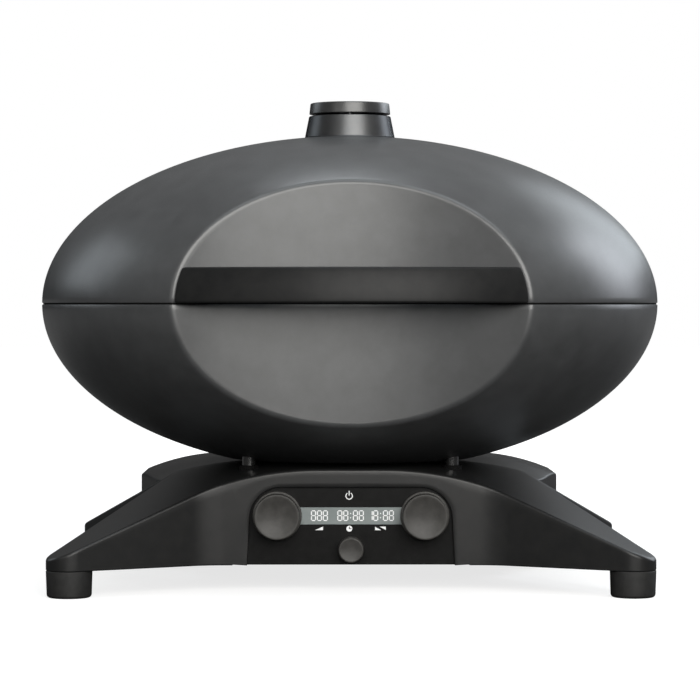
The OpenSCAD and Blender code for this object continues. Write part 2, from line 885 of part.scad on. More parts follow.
// Round pipe from the terminal cover down and forward into the base
module bent_pipe(r, top_z, front_y) {
    translate([0, conduit_y, conduit_z + conduit_bend]) cylinder(r = r, h = top_z - conduit_z - conduit_bend);
    translate([0, conduit_y - conduit_bend, conduit_z + conduit_bend]) rotate([0, 90, 0])
        rotate_extrude(angle = 90) translate([conduit_bend, 0]) circle(r = r);
    translate([0, front_y, conduit_z]) along_y() cylinder(r = r, h = conduit_y - conduit_bend - front_y);
}

module wiring_conduit() {
    color(black) difference() {
        bent_pipe(conduit_r, conduit_drop, conduit_end);
        bent_pipe(conduit_bore, conduit_drop + 1, conduit_end - 1);
    }
}

module conduit_nuts() {
    color(black) for (y = [wall_y, wall_y - base_wall - nut_thickness])
        translate([0, y, conduit_z]) along_y() difference() {
            cylinder(r = nut_r, h = nut_thickness, $fn = 6);
            translate([0, 0, -1]) cylinder(r = conduit_r + running_gap, h = nut_thickness + 2);
        }
}

// Bundle of wires from the terminal block to the power board
module wiring_harness() {
    top = seam_height - tube_depth - block_half_height;
    landing = power_board_z + board_thickness;
    color(rubber) union() {
        bent_pipe(harness_r, top, harness_end);
        translate([0, harness_end, conduit_z]) sphere(r = harness_r);
        translate([0, harness_end, landing]) cylinder(r = harness_r, h = conduit_z - landing);
    }
}

// Pegs that stand the bowl on the base, cut to the bowl's curve
module standing_pegs() {
    color(coat) difference() {
        at_pegs() translate([0, 0, base_top])
            cylinder(r = peg_radius, h = peg_height + peg_reach);
        at_seam() bowl_form(-fit_gap / 2);
        at_pegs() cylinder(r = screw_r + fit_gap, h = seam_height);
    }
}

module peg_bolts() {
    head_z = base_top - peg_boss - fit_gap - screw_head_h;
    color(steel) at_pegs() union() {
        translate([0, 0, head_z]) cylinder(r = screw_r, h = seam_height - bowl_depth + bolt_reach - head_z);
        translate([0, 0, head_z]) cylinder(r = screw_head_r, h = screw_head_h);
    }
}

// Curve of a leg's top away from the middle, as distance and height
function leg_profile(d) = concat(
    [[-cut_reach, 0], [-cut_reach, base_top - d]],
    [for (i = [0:6]) let (a = slope_angle * i / 6)
        [slope_start + slope_bend * sin(a), base_top - d - slope_bend * (1 - cos(a))]],
    [[slope_start + slope_bend * sin(slope_angle) + slope_run,
      base_top - d - slope_bend * (1 - cos(slope_angle)) - slope_run * tan(slope_angle)]],
    [[slope_start + slope_bend * sin(slope_angle) + slope_run, -cut_reach], [-cut_reach, -cut_reach]]
);

// Curve of the rear deck across its width, as sideways distance and height
function deck_profile(d) =
    let (fall = [for (i = [0:6]) let (x = deck_flat + (deck_half - deck_flat) * i / 6)
        [x, base_top - d - deck_bend + sqrt(pow(deck_bend, 2) - pow(x - deck_flat, 2))]])
    concat([[-deck_half, -1], [deck_half, -1]], [for (i = [6:-1:0]) fall[i]], [for (p = fall) [-p.x, p.y]]);

module leg_prism(d, turn) {
    rotate([0, 0, turn]) rotate([90, 0, 0])
        linear_extrude(2 * cut_reach, center = true) polygon(leg_profile(d));
}

// Solid form of the base, moved inwards by d
module base_form(d) {
    module plan() { linear_extrude(base_top + 1) polygon(rounded(inset(base_corners(), d))); }
    intersection() {
        plan();
        leg_prism(d, leg_turn);
        leg_prism(d, -leg_turn);
        leg_prism(d, 180 - leg_turn);
        leg_prism(d, 180 + leg_turn);
    }
    intersection() {
        plan();
        linear_extrude(base_top + 1) polygon(rounded(inset(deck_corners(), d)));
        rotate([90, 0, 0]) linear_extrude(2 * cut_reach, center = true) polygon(deck_profile(d));
    }
}

// Where the panel's shape passes through the front wall
module panel_slot(d, depth) {
    translate([0, -wall_y - 1, 0]) mirror([0, 1, 0]) rotate([90, 0, 0])
        linear_extrude(depth) polygon(rounded(inset(panel_corners(), -d)));
}

// A wall inside parts the controls from the power board, with room for wires under it, and a boss
// stands under each peg
module base_housing() {
    color(black) difference() {
        union() {
            difference() {
                base_form(0);
                base_form(base_wall);
            }
            intersection() {
                base_form(0);
                union() {
                    mirrored_x() translate([tip_fill_x, -cut_reach / 2, 0]) cube(cut_reach);
                    for (p = post_places) translate([p.x, p.y, base_bottom + plate_lift + plate_thickness])
                        cylinder(r = post_r, h = base_top);
                    translate([-divider_half, -divider_front, base_bottom + divider_gap])
                        cube([2 * divider_half, base_wall, base_top]);
                }
            }
            at_pegs() translate([0, 0, base_top - peg_boss]) cylinder(r = peg_boss_r, h = peg_boss);
        }
        translate([-cut_reach / 2, -cut_reach / 2, base_bottom - cut_reach]) cube(cut_reach);
        panel_slot(0, base_wall + 2);
        translate([-panel_half, -wall_y - 1, base_bottom - 1]) cube([2 * panel_half, base_wall + 2, 4]);
        for (p = post_places) translate([p.x, p.y, 0]) cylinder(r = screw_r, h = base_bottom + post_hole);
        on_corners(foot_x, foot_y) cylinder(r = foot_screw_r, h = base_bottom + foot_screw_bite);
        at_pegs() cylinder(r = screw_r + fit_gap, h = 2 * base_top);
        translate([0, wall_y, conduit_z]) along_y()
            cylinder(r = conduit_r + fit_gap, h = 6 * base_wall, center = true);
        translate([gland_x, wall_y, gland_z]) along_y()
            cylinder(r = gland_r + fit_gap, h = 6 * base_wall, center = true);
    }
}

module base_plate() {
    color(steel) translate([0, 0, base_bottom + plate_lift]) difference() {
        linear_extrude(plate_thickness) intersection() {
            polygon(rounded(inset(base_corners(), base_wall + fit_gap)));
            translate([-plate_half, -cut_reach / 2]) square([2 * plate_half, cut_reach]);
        }
        translate([-panel_half - 2 * panel_margin, -cut_reach, -1])
            cube([2 * panel_half + 4 * panel_margin, cut_reach + panel_back + 1, plate_thickness + 2]);
        for (p = concat(post_places, power_post_places)) translate([p.x, p.y, -1])
            cylinder(r = screw_r + fit_gap, h = plate_thickness + 2);
    }
}

module plate_screws() {
    color(steel) for (p = concat(post_places, power_post_places))
        translate([p.x, p.y, base_bottom + plate_lift - screw_head_h]) union() {
            cylinder(r = screw_head_r, h = screw_head_h);
            cylinder(r = screw_r, h = screw_head_h + plate_thickness + screw_bite);
        }
}

module foot(x, y) {
    color(rubber) translate([x * foot_x, y * foot_y, 0]) difference() {
        rotate_extrude() polygon([
            [0, 0], [foot_radius - foot_edge, 0], [foot_radius, foot_edge],
            [foot_radius, foot_height], [0, foot_height]
        ]);
        translate([0, 0, -1]) cylinder(r = foot_recess_r, h = foot_recess + 1);
        cylinder(r = foot_screw_r + fit_gap, h = 2 * foot_height);
    }
}

module foot_front_left() { foot(-1, -1); }
module foot_front_right() { foot(1, -1); }
module foot_rear_left() { foot(-1, 1); }
module foot_rear_right() { foot(1, 1); }

module foot_screws() {
    color(steel) on_corners(foot_x, foot_y) union() {
        translate([0, 0, foot_recess - foot_screw_head]) cylinder(r = foot_recess_r - 1, h = foot_screw_head);
        translate([0, 0, foot_recess])
            cylinder(r = foot_screw_r, h = base_bottom + foot_screw_bite - foot_recess);
    }
}

// Frames on the control panel: Z points out of the panel's face, towards the user
module on_panel(x, z) { translate([x, panel_face, z]) rotate([90, 0, 0]) children(); }

module control_panel() {
    color(panel_black) difference() {
        translate([0, panel_face, 0]) mirror([0, 1, 0]) rotate([90, 0, 0]) linear_extrude(panel_thickness)
            intersection() {
                polygon(rounded(inset(panel_corners(), -panel_margin)));
                translate([-cut_reach / 2, base_bottom + fit_gap]) square(cut_reach);
            }
        for (x = [-knob_x, knob_x]) on_panel(x, knob_z)
            cylinder(r = shaft_hole, h = cut_reach, center = true);
        on_panel(0, button_z) cylinder(r = button_stem + running_gap, h = cut_reach, center = true);
        translate([-window_half, panel_face - 1, window_z - window_height / 2])
            cube([2 * window_half, panel_thickness + 2, window_height]);
    }
}

module at_board_posts() {
    for (x = [-board_post_x, board_post_x], z = board_post_z)
        translate([x, panel_back, z]) along_y() children();
}

// Screws that hold the control board to its posts
module board_screws() {
    color(steel) for (x = [-board_post_x, board_post_x], z = board_post_z)
        translate([x, panel_back + board_gap + board_thickness, z]) along_y() union() {
            translate([0, 0, -board_screw_bite]) cylinder(r = board_screw_r, h = board_screw_bite);
            cylinder(r = board_screw_head[0], h = board_screw_head[1]);
        }
}

module display_window() {
    color(window_grey)
        translate([-window_half + fit_gap, panel_face, window_z - window_height / 2 + fit_gap])
            cube([2 * (window_half - fit_gap), window_thickness, window_height - 2 * fit_gap]);
}

module display_module() {
    front = panel_face + window_thickness + fit_gap / 2;
    color(black) translate([-window_half + 1, front, window_z - window_height / 2 + 1])
        cube([2 * (window_half - 1), board_face - front, window_height - 2]);
}

module control_board() {
    color(board_green) difference() {
        translate([-board_half, board_face, board_low])
            cube([2 * board_half, board_thickness, board_high - board_low]);
        for (x = [-board_post_x, board_post_x], z = board_post_z) translate([x, board_face, z]) along_y()
            cylinder(r = board_hole, h = 4 * board_thickness, center = true);
    }
}

module board_posts() {
    color(black) at_board_posts() difference() {
        cylinder(r = board_post_r, h = board_gap);
        translate([0, 0, board_gap - board_screw_bite]) cylinder(r = board_screw_r, h = board_screw_bite + 1);
    }
}

module encoder(side) {
    bush = board_gap - encoder_depth;
    color(steel) translate([side * knob_x, board_face, knob_z]) rotate([90, 0, 0]) difference() {
        union() {
            translate([-encoder_half, -encoder_half, 0])
                cube([2 * encoder_half, 2 * encoder_half, encoder_depth]);
            translate([0, 0, encoder_depth]) cylinder(r = bush_r, h = bush);
        }
        translate([0, 0, encoder_depth / 2]) cylinder(r = shaft_r + running_gap, h = 2 * board_gap);
    }
}

module left_encoder() { encoder(-1); }
module right_encoder() { encoder(1); }

// Knob with a skirt, a groove and a dished face
module knob(side) {
    dish = (pow(knob_radius - knob_rim, 2) + pow(knob_dish, 2)) / (2 * knob_dish);
    color(black) on_panel(side * knob_x, knob_z) difference() {
        rotate_extrude() polygon([
            [0, knob_clear], [knob_skirt, knob_clear], [knob_skirt, knob_skirt_depth - knob_edge],
            [knob_skirt - knob_edge, knob_skirt_depth], [knob_radius - knob_waist, knob_skirt_depth],
            [knob_radius - knob_waist, knob_skirt_depth + knob_groove],
            [knob_radius, knob_skirt_depth + knob_groove], [knob_radius, knob_length - knob_edge],
            [knob_radius - knob_edge, knob_length], [0, knob_length]
        ]);
        translate([0, 0, knob_length + dish - knob_dish]) sphere(r = dish, $fn = 180);
        translate([0, 0, -1]) cylinder(r = shaft_r, h = knob_length - knob_dish - knob_roof + 1);
    }
}

module left_knob() { knob(-1); }
module right_knob() { knob(1); }

module shaft(side) {
    inner_end = panel_thickness + board_gap - encoder_depth / 2 - fit_gap;
    color(steel) on_panel(side * knob_x, knob_z) translate([0, 0, -inner_end])
        cylinder(r = shaft_r, h = inner_end + knob_length - knob_dish - knob_roof);
}

module left_shaft() { shaft(-1); }
module right_shaft() { shaft(1); }

// Push button: a dished cap, a stem through the panel and a flange that keeps it in
module timer_button() {
    cap_start = button_travel + 1;
    dish_depth = 1.2;
    dish = (pow(button_radius - 1.5, 2) + pow(dish_depth, 2)) / (2 * dish_depth);
    stem_end = panel_thickness + board_gap - switch_half - button_travel - fit_gap;
    color(black) on_panel(0, button_z) difference() {
        union() {
            rotate_extrude() polygon([
                [0, cap_start], [button_radius, cap_start], [button_radius, cap_start + button_length - 1],
                [button_radius - 1, cap_start + button_length], [0, cap_start + button_length]
            ]);
            translate([0, 0, -stem_end]) cylinder(r = button_stem, h = stem_end + cap_start + 1);
            translate([0, 0, -panel_thickness - fit_gap - button_flange_depth])
                cylinder(r = button_flange, h = button_flange_depth);
        }
        translate([0, 0, cap_start + button_length + dish - dish_depth]) sphere(r = dish, $fn = 180);
    }
}

module button_switch() {
    color(black) translate([-switch_half, board_face - switch_half, button_z - board_post_r])
        cube([2 * switch_half, switch_half, 2 * board_post_r]);
}

module power_board() {
    color(board_green) difference() {
        translate([-power_board_size.x / 2, power_board_y - power_board_size.y / 2, power_board_z])
            cube([power_board_size.x, power_board_size.y, board_thickness]);
        for (p = power_post_places) translate([p.x, p.y, power_board_z - 1])
            cylinder(r = board_hole, h = board_thickness + 2);
    }
}

module power_board_posts() {
    low = base_bottom + plate_lift + plate_thickness;
    color(steel) for (p = power_post_places) translate([p.x, p.y, low]) difference() {
        cylinder(r = power_post_r, h = power_board_z - low);
        translate([0, 0, -1]) cylinder(r = screw_r, h = power_post_hole + 1);
    }
}

module relays() {
    color(panel_black) translate([relay_start, power_board_y + relay_back, power_board_z + board_thickness])
        for (i = [0:2]) translate([i * relay_pitch, 0, 0]) cube(relay_size);
}

module heat_sink() {
    step = (sink_size.x - sink_fin) / (sink_fins - 1);
    color(steel) translate([sink_x, power_board_y - sink_front, power_board_z + board_thickness]) union() {
        cube([sink_size.x, sink_size.y, sink_floor]);
        for (i = [0:sink_fins - 1]) translate([i * step, 0, 0]) cube([sink_fin, sink_size.y, sink_size.z]);
    }
}

module transformer() {
    color(iron)
        translate([transformer_x, power_board_y - transformer_front, power_board_z + board_thickness])
            cube(transformer_size);
}

// Gland that the mains cord passes through
module cord_gland() {
    color(black) translate([gland_x, wall_y, gland_z]) along_y() difference() {
        union() {
            translate([0, 0, -base_wall - gland_in]) cylinder(r = gland_r, h = base_wall + gland_in);
            cylinder(r = gland_flange, h = gland_hex, $fn = 6);
            translate([0, 0, gland_hex])
                cylinder(r1 = gland_r + gland_taper, r2 = gland_r, h = gland_out - gland_hex);
        }
        cylinder(r = gland_bore, h = 4 * gland_out, center = true);
    }
}

module gland_nut() {
    color(black) translate([gland_x, wall_y - base_wall - nut_thickness, gland_z]) along_y() difference() {
        cylinder(r = gland_flange, h = nut_thickness, $fn = 6);
        translate([0, 0, -1]) cylinder(r = gland_r + running_gap, h = nut_thickness + 2);
    }
}

lid_shell();
rim_seal();
chimney_tube();
damper_seat();
damper_pivot();
chimney_cap();
damper_valve();
handle_grip();
handle_pads();
handle_screws();
lid_hinge_leaves();
lid_hinge_screws();
lower_shell();
grate_left();
grate_right();
outer_element();
inner_element();
element_supports();
drip_pan();
temperature_sensor();
hinge_brackets();
hinge_pins();
bracket_screws();
terminal_cover();
terminal_block();
cover_screws();
wiring_conduit();
conduit_nuts();
wiring_harness();
standing_pegs();
peg_bolts();
base_housing();
base_plate();
plate_screws();
foot_front_left();
foot_front_right();
foot_rear_left();
foot_rear_right();
foot_screws();
control_panel();
board_screws();
display_window();
display_module();
control_board();
board_posts();
left_encoder();
right_encoder();
left_knob();
right_knob();
left_shaft();
right_shaft();
timer_button();
button_switch();
power_board();
power_board_posts();
relays();
heat_sink();
transformer();
cord_gland();
gland_nut();
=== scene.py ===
import bmesh
import bpy
import math
import numpy as np
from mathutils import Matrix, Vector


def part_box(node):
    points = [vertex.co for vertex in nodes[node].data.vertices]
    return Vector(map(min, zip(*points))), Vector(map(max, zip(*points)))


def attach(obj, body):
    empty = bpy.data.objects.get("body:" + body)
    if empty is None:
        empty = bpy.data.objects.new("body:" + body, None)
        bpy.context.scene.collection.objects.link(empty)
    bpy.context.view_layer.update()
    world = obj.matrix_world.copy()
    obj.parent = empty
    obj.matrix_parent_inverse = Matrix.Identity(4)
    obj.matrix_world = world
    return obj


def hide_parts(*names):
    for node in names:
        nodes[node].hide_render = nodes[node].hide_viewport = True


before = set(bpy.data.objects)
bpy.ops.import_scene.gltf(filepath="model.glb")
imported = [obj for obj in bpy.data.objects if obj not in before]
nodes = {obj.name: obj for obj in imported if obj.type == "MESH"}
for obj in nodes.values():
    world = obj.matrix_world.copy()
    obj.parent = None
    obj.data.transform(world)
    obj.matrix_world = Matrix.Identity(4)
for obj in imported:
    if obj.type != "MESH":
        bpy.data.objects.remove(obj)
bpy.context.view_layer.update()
mm = 0.001  # arrays below are in millimetres, meshes in metres
bevelShare = 0.3  # at 45 degrees a small rounded edge is this share of its radius from both faces


def nodeBox(name):
    # lowest and highest corner of a CAD node, in millimetres
    low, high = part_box(name)
    return np.array(low) / mm, np.array(high) / mm


def nodeMiddle(name):
    low, high = nodeBox(name)
    return (low + high) / 2


print("stage: frame loaded,", len(nodes), "nodes")


# mesh building

def patch(points, closeRows=False, closeCols=False, keep=None):
    # one grid of points, rows x columns x 3; keep masks its cells
    return dict(points=points, closeRows=closeRows, closeCols=closeCols, keep=keep)


def gridQuads(rows, cols, start, closeRows, closeCols):
    # vertex numbers of the four corners of every cell of a rows x cols grid
    i = np.arange(rows if closeRows else rows - 1)[:, None]
    j = np.arange(cols if closeCols else cols - 1)[None, :]
    nextI = (i + 1) % rows
    nextJ = (j + 1) % cols
    corners = (i * cols + j, i * cols + nextJ, nextI * cols + nextJ, nextI * cols + j)
    return start + np.stack(np.broadcast_arrays(*corners), -1).reshape(-1, 4)


def addObject(name, data):
    made = bpy.data.objects.new(name, data)
    bpy.context.scene.collection.objects.link(made)
    return made


def makePiece(name, patches, finish, body, stands=(), crease=38, weld=0.004, sliver=0.001):
    # joins grids into one mesh, welds shared edges and turns the faces outwards
    points, quads, start = [], [], 0
    for part in patches:
        rows, cols = part["points"].shape[:2]
        cells = gridQuads(rows, cols, start, part["closeRows"], part["closeCols"])
        if part["keep"] is not None:
            cells = cells[part["keep"].ravel()]
        points.append(part["points"].reshape(-1, 3))
        quads.append(cells)
        start += rows * cols
    mesh = bpy.data.meshes.new(name)
    mesh.from_pydata((np.concatenate(points) * mm).tolist(), [], np.concatenate(quads).tolist())
    work = bmesh.new()
    work.from_mesh(mesh)
    bmesh.ops.remove_doubles(work, verts=work.verts, dist=weld * mm)
    bmesh.ops.dissolve_degenerate(work, edges=work.edges, dist=sliver * mm)
    loose = [v for v in work.verts if not v.link_faces]
    bmesh.ops.delete(work, geom=loose, context="VERTS")
    bmesh.ops.recalc_face_normals(work, faces=work.faces)
    work.to_mesh(mesh)
    work.free()
    mesh.polygons.foreach_set("use_smooth", np.ones(len(mesh.polygons), bool))
    mesh.set_sharp_from_angle(angle=math.radians(crease))
    mesh.materials.append(finishes[finish])
    piece = addObject(name, mesh)
    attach(piece, body)
    if stands:
        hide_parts(*stands)


def mirrorX(patches):
    return [dict(p, points=p["points"] * np.array([-1, 1, 1])) for p in patches]


def standAt(patches, z, up=1):
    # heights measured from the seam become places above the floor; up is -1 for what hangs below it
    return [dict(p, points=p["points"] * np.array([1, 1, up]) + np.array([0, 0, z])) for p in patches]


def softPath(corners, closed=False, arcSteps=6):
    # path through corners (x, y, radius); a corner with a radius becomes an arc tangent to both sides
    flat = np.array([c[:2] for c in corners], float)
    count = len(corners)
    path = []
    for i, corner in enumerate(corners):
        radius = corner[2] if len(corner) > 2 else 0
        if radius == 0 or (not closed and i in (0, count - 1)):
            path.append(flat[i][None])
            continue
        u = flat[i - 1] - flat[i]
        v = flat[(i + 1) % count] - flat[i]
        u, v = u / np.linalg.norm(u), v / np.linalg.norm(v)
        half = math.acos(np.clip(u @ v, -1, 1)) / 2
        middle = flat[i] + (u + v) / np.linalg.norm(u + v) * radius / math.sin(half)
        first = flat[i] + u * radius / math.tan(half) - middle
        last = flat[i] + v * radius / math.tan(half) - middle
        begin = math.atan2(first[1], first[0])
        sweep = (math.atan2(last[1], last[0]) - begin + math.pi) % (2 * math.pi) - math.pi
        angle = begin + sweep * np.linspace(0, 1, arcSteps + 1)
        path.append(middle + radius * np.stack([np.cos(angle), np.sin(angle)], -1))
    return np.concatenate(path)


def refine(path, step):
    # the same closed path with points no further apart than step
    ends = np.roll(path, -1, 0)
    counts = [max(1, math.ceil(np.linalg.norm(b - a) / step)) for a, b in zip(path, ends)]
    return np.concatenate([a + (b - a) * np.arange(n)[:, None] / n for a, b, n in zip(path, ends, counts)])


def spread(path, count):
    # points at equal steps along an open path
    run = np.concatenate([[0], np.cumsum(np.linalg.norm(np.diff(path, axis=0), axis=1))])
    at = np.linspace(0, run[-1], count)
    return np.stack([np.interp(at, run, path[:, 0]), np.interp(at, run, path[:, 1])], -1)


def outward(path):
    # unit normals of a closed anticlockwise path, from the chord between each point's neighbours
    chord = np.roll(path, -1, 0) - np.roll(path, 1, 0)
    normal = np.stack([chord[:, 1], -chord[:, 0]], -1)
    return normal / np.linalg.norm(normal, axis=1, keepdims=True)


def raised(plan, z):
    # an outline seen from above, lifted to the height z, or to one height for each point
    return np.concatenate([plan, np.reshape(z + 0 * plan[:, 0], (-1, 1))], -1)


def upright(outline, y):
    # an outline seen from the front, as x and z, set up at the depth y
    return np.stack([outline[..., 0], y + 0 * outline[..., 0], outline[..., 1]], -1)


def lathe(profile, turns):
    # profile (r, z) spun round Z: x = r cos a, y = r sin a
    angle = np.arange(turns) * 2 * np.pi / turns
    r, z = profile[:, :1], profile[:, 1:2]
    return np.stack([r * np.cos(angle), r * np.sin(angle), z + 0 * angle], -1)


def facing(points, x, y, z):
    # a lathe's Z axis turned to look out of the panel: its height becomes -Y
    return np.stack([x + points[..., 0], y - points[..., 2], z + points[..., 1]], -1)


def capRings(loop, rings=4):
    # flat cover from a closed loop to its middle
    centre = loop.mean(0)
    share = np.linspace(1, 0, rings + 1)[:, None, None]
    return patch(centre + (loop[None] - centre) * share, closeCols=True)


# materials: shared node groups first
number, colour, vector = "NodeSocketFloat", "NodeSocketColor", "NodeSocketVector"
toneInputs = [("Dark", colour), ("Light", colour), ("Smooth", number), ("Rough", number)]
surfaceOutputs = [("Color", colour), ("Roughness", number), ("Height", number)]
mixSockets = dict(first=6, second=7, result=2)  # the Mix node's colour sockets


def feed(socket, value):
    # a plain number is set on the socket, another socket is linked to it
    if isinstance(value, (int, float)):
        socket.default_value = value
    else:
        socket.id_data.links.new(value, socket)


def addNode(tree, kind, settings=None, **sockets):
    made = tree.nodes.new("ShaderNode" + kind)
    for key, value in (settings or {}).items():
        setattr(made, key, value)
    for key, value in sockets.items():
        made.inputs[key].default_value = value
    return made


def mapped(tree, source, low, high, fromLow=0.3, fromHigh=0.7):
    # source carried from one range to another, by default from the range that noise mostly fills
    made = addNode(tree, "MapRange")
    labels = ("Value", "From Min", "From Max", "To Min", "To Max")
    for label, value in zip(labels, (source, fromLow, fromHigh, low, high)):
        feed(made.inputs[label], value)
    return made.outputs["Result"]


def combine(tree, operation, first, second):
    made = addNode(tree, "Math", dict(operation=operation))
    feed(made.inputs[0], first)
    feed(made.inputs[1], second)
    return made.outputs[0]


def newGroup(name, takes):
    tree = bpy.data.node_groups.new(name, "ShaderNodeTree")
    for label, kind in [("Vector", vector)] + takes + toneInputs:
        tree.interface.new_socket(label, in_out="INPUT", socket_type=kind)
    for label, kind in surfaceOutputs:
        tree.interface.new_socket(label, in_out="OUTPUT", socket_type=kind)
    return tree, tree.nodes.new("NodeGroupInput"), tree.nodes.new("NodeGroupOutput")


def giveSurface(tree, given, out, tone, shine, height):
    # tone runs from dark to light, shine from smooth to rough
    mix = addNode(tree, "Mix", dict(data_type="RGBA"))
    feed(mix.inputs["Factor"], mapped(tree, tone, 0, 1))
    feed(mix.inputs[mixSockets["first"]], given.outputs["Dark"])
    feed(mix.inputs[mixSockets["second"]], given.outputs["Light"])
    feed(out.inputs["Color"], mix.outputs[mixSockets["result"]])
    feed(out.inputs["Roughness"], mapped(tree, shine, given.outputs["Smooth"], given.outputs["Rough"]))
    feed(out.inputs["Height"], height)


def castGroup():
    # mottled colour, uneven gloss and a fine grain, for coated castings and moulded plastics
    tree, given, out = newGroup("castFinish", [("Mottle Scale", number), ("Grain Scale", number)])
    mottle = addNode(tree, "TexNoise", Detail=6, Roughness=0.62)
    grain = addNode(tree, "TexNoise", Detail=3, Roughness=0.7)
    pits = addNode(tree, "TexVoronoi")
    for texture, scale in ((mottle, "Mottle Scale"), (grain, "Grain Scale"), (pits, "Grain Scale")):
        feed(texture.inputs["Vector"], given.outputs["Vector"])
        feed(texture.inputs["Scale"], given.outputs[scale])
    pitDepth = mapped(tree, pits.outputs["Distance"], 0, 0.4, 0, 0.5)
    relief = combine(tree, "ADD", grain.outputs["Fac"], pitDepth)
    giveSurface(tree, given, out, mottle.outputs["Fac"], grain.outputs["Fac"], relief)
    return tree


def brushedGroup():
    # long fine scratches along one axis: noise on a stretched vector
    tree, given, out = newGroup("brushedLines", [("Along", vector)])
    stretch = addNode(tree, "VectorMath", dict(operation="MULTIPLY"))
    feed(stretch.inputs[0], given.outputs["Vector"])
    feed(stretch.inputs[1], given.outputs["Along"])
    lines = addNode(tree, "TexNoise", Scale=1, Detail=3, Roughness=0.6)
    stain = addNode(tree, "TexNoise", Scale=35, Detail=4, Roughness=0.6)
    feed(lines.inputs["Vector"], stretch.outputs[0])
    feed(stain.inputs["Vector"], given.outputs["Vector"])
    giveSurface(tree, given, out, stain.outputs["Fac"], lines.outputs["Fac"], lines.outputs["Fac"])
    return tree


castFinish = castGroup()
brushedLines = brushedGroup()


def finishMaterial(name, group, own, dark, light, gloss, bump, level=0.5, metal=0.0, rimTint=None):
    # a Principled surface fed by one of the groups on Object coordinates: own is that group's own inputs,
    # gloss the smoothest and roughest value, bump strength and height; rimTint dims a metal at grazing angles
    values = dict(own, Dark=dark, Light=light, Smooth=gloss[0], Rough=gloss[1])
    made = bpy.data.materials.new(name)
    made.use_nodes = True
    tree = made.node_tree
    shader = tree.nodes["Principled BSDF"]
    place = addNode(tree, "TexCoord")
    effect = addNode(tree, "Group", dict(node_tree=group))
    for key, value in values.items():
        effect.inputs[key].default_value = value
    relief = addNode(tree, "Bump", Strength=bump[0], Distance=bump[1] * mm)
    feed(effect.inputs["Vector"], place.outputs["Object"])
    feed(shader.inputs["Base Color"], effect.outputs["Color"])
    feed(shader.inputs["Roughness"], effect.outputs["Roughness"])
    feed(relief.inputs["Height"], effect.outputs["Height"])
    feed(shader.inputs["Normal"], relief.outputs["Normal"])
    shader.inputs["Metallic"].default_value = metal
    shader.inputs["Specular IOR Level"].default_value = level
    if rimTint:
        shader.inputs["Specular Tint"].default_value = rimTint
    return made


def castMaterial(name, mottle, grain, dark, light, **more):
    scales = {"Mottle Scale": mottle, "Grain Scale": grain}
    return finishMaterial(name, castFinish, scales, dark, light, **more)


def brushedMaterial(name, along, dark, light, **more):
    return finishMaterial(name, brushedLines, dict(Along=along), dark, light, metal=1.0, **more)


def grey(level, tint=(1, 1, 1)):
    return (level * tint[0], level * tint[1], level * tint[2], 1)


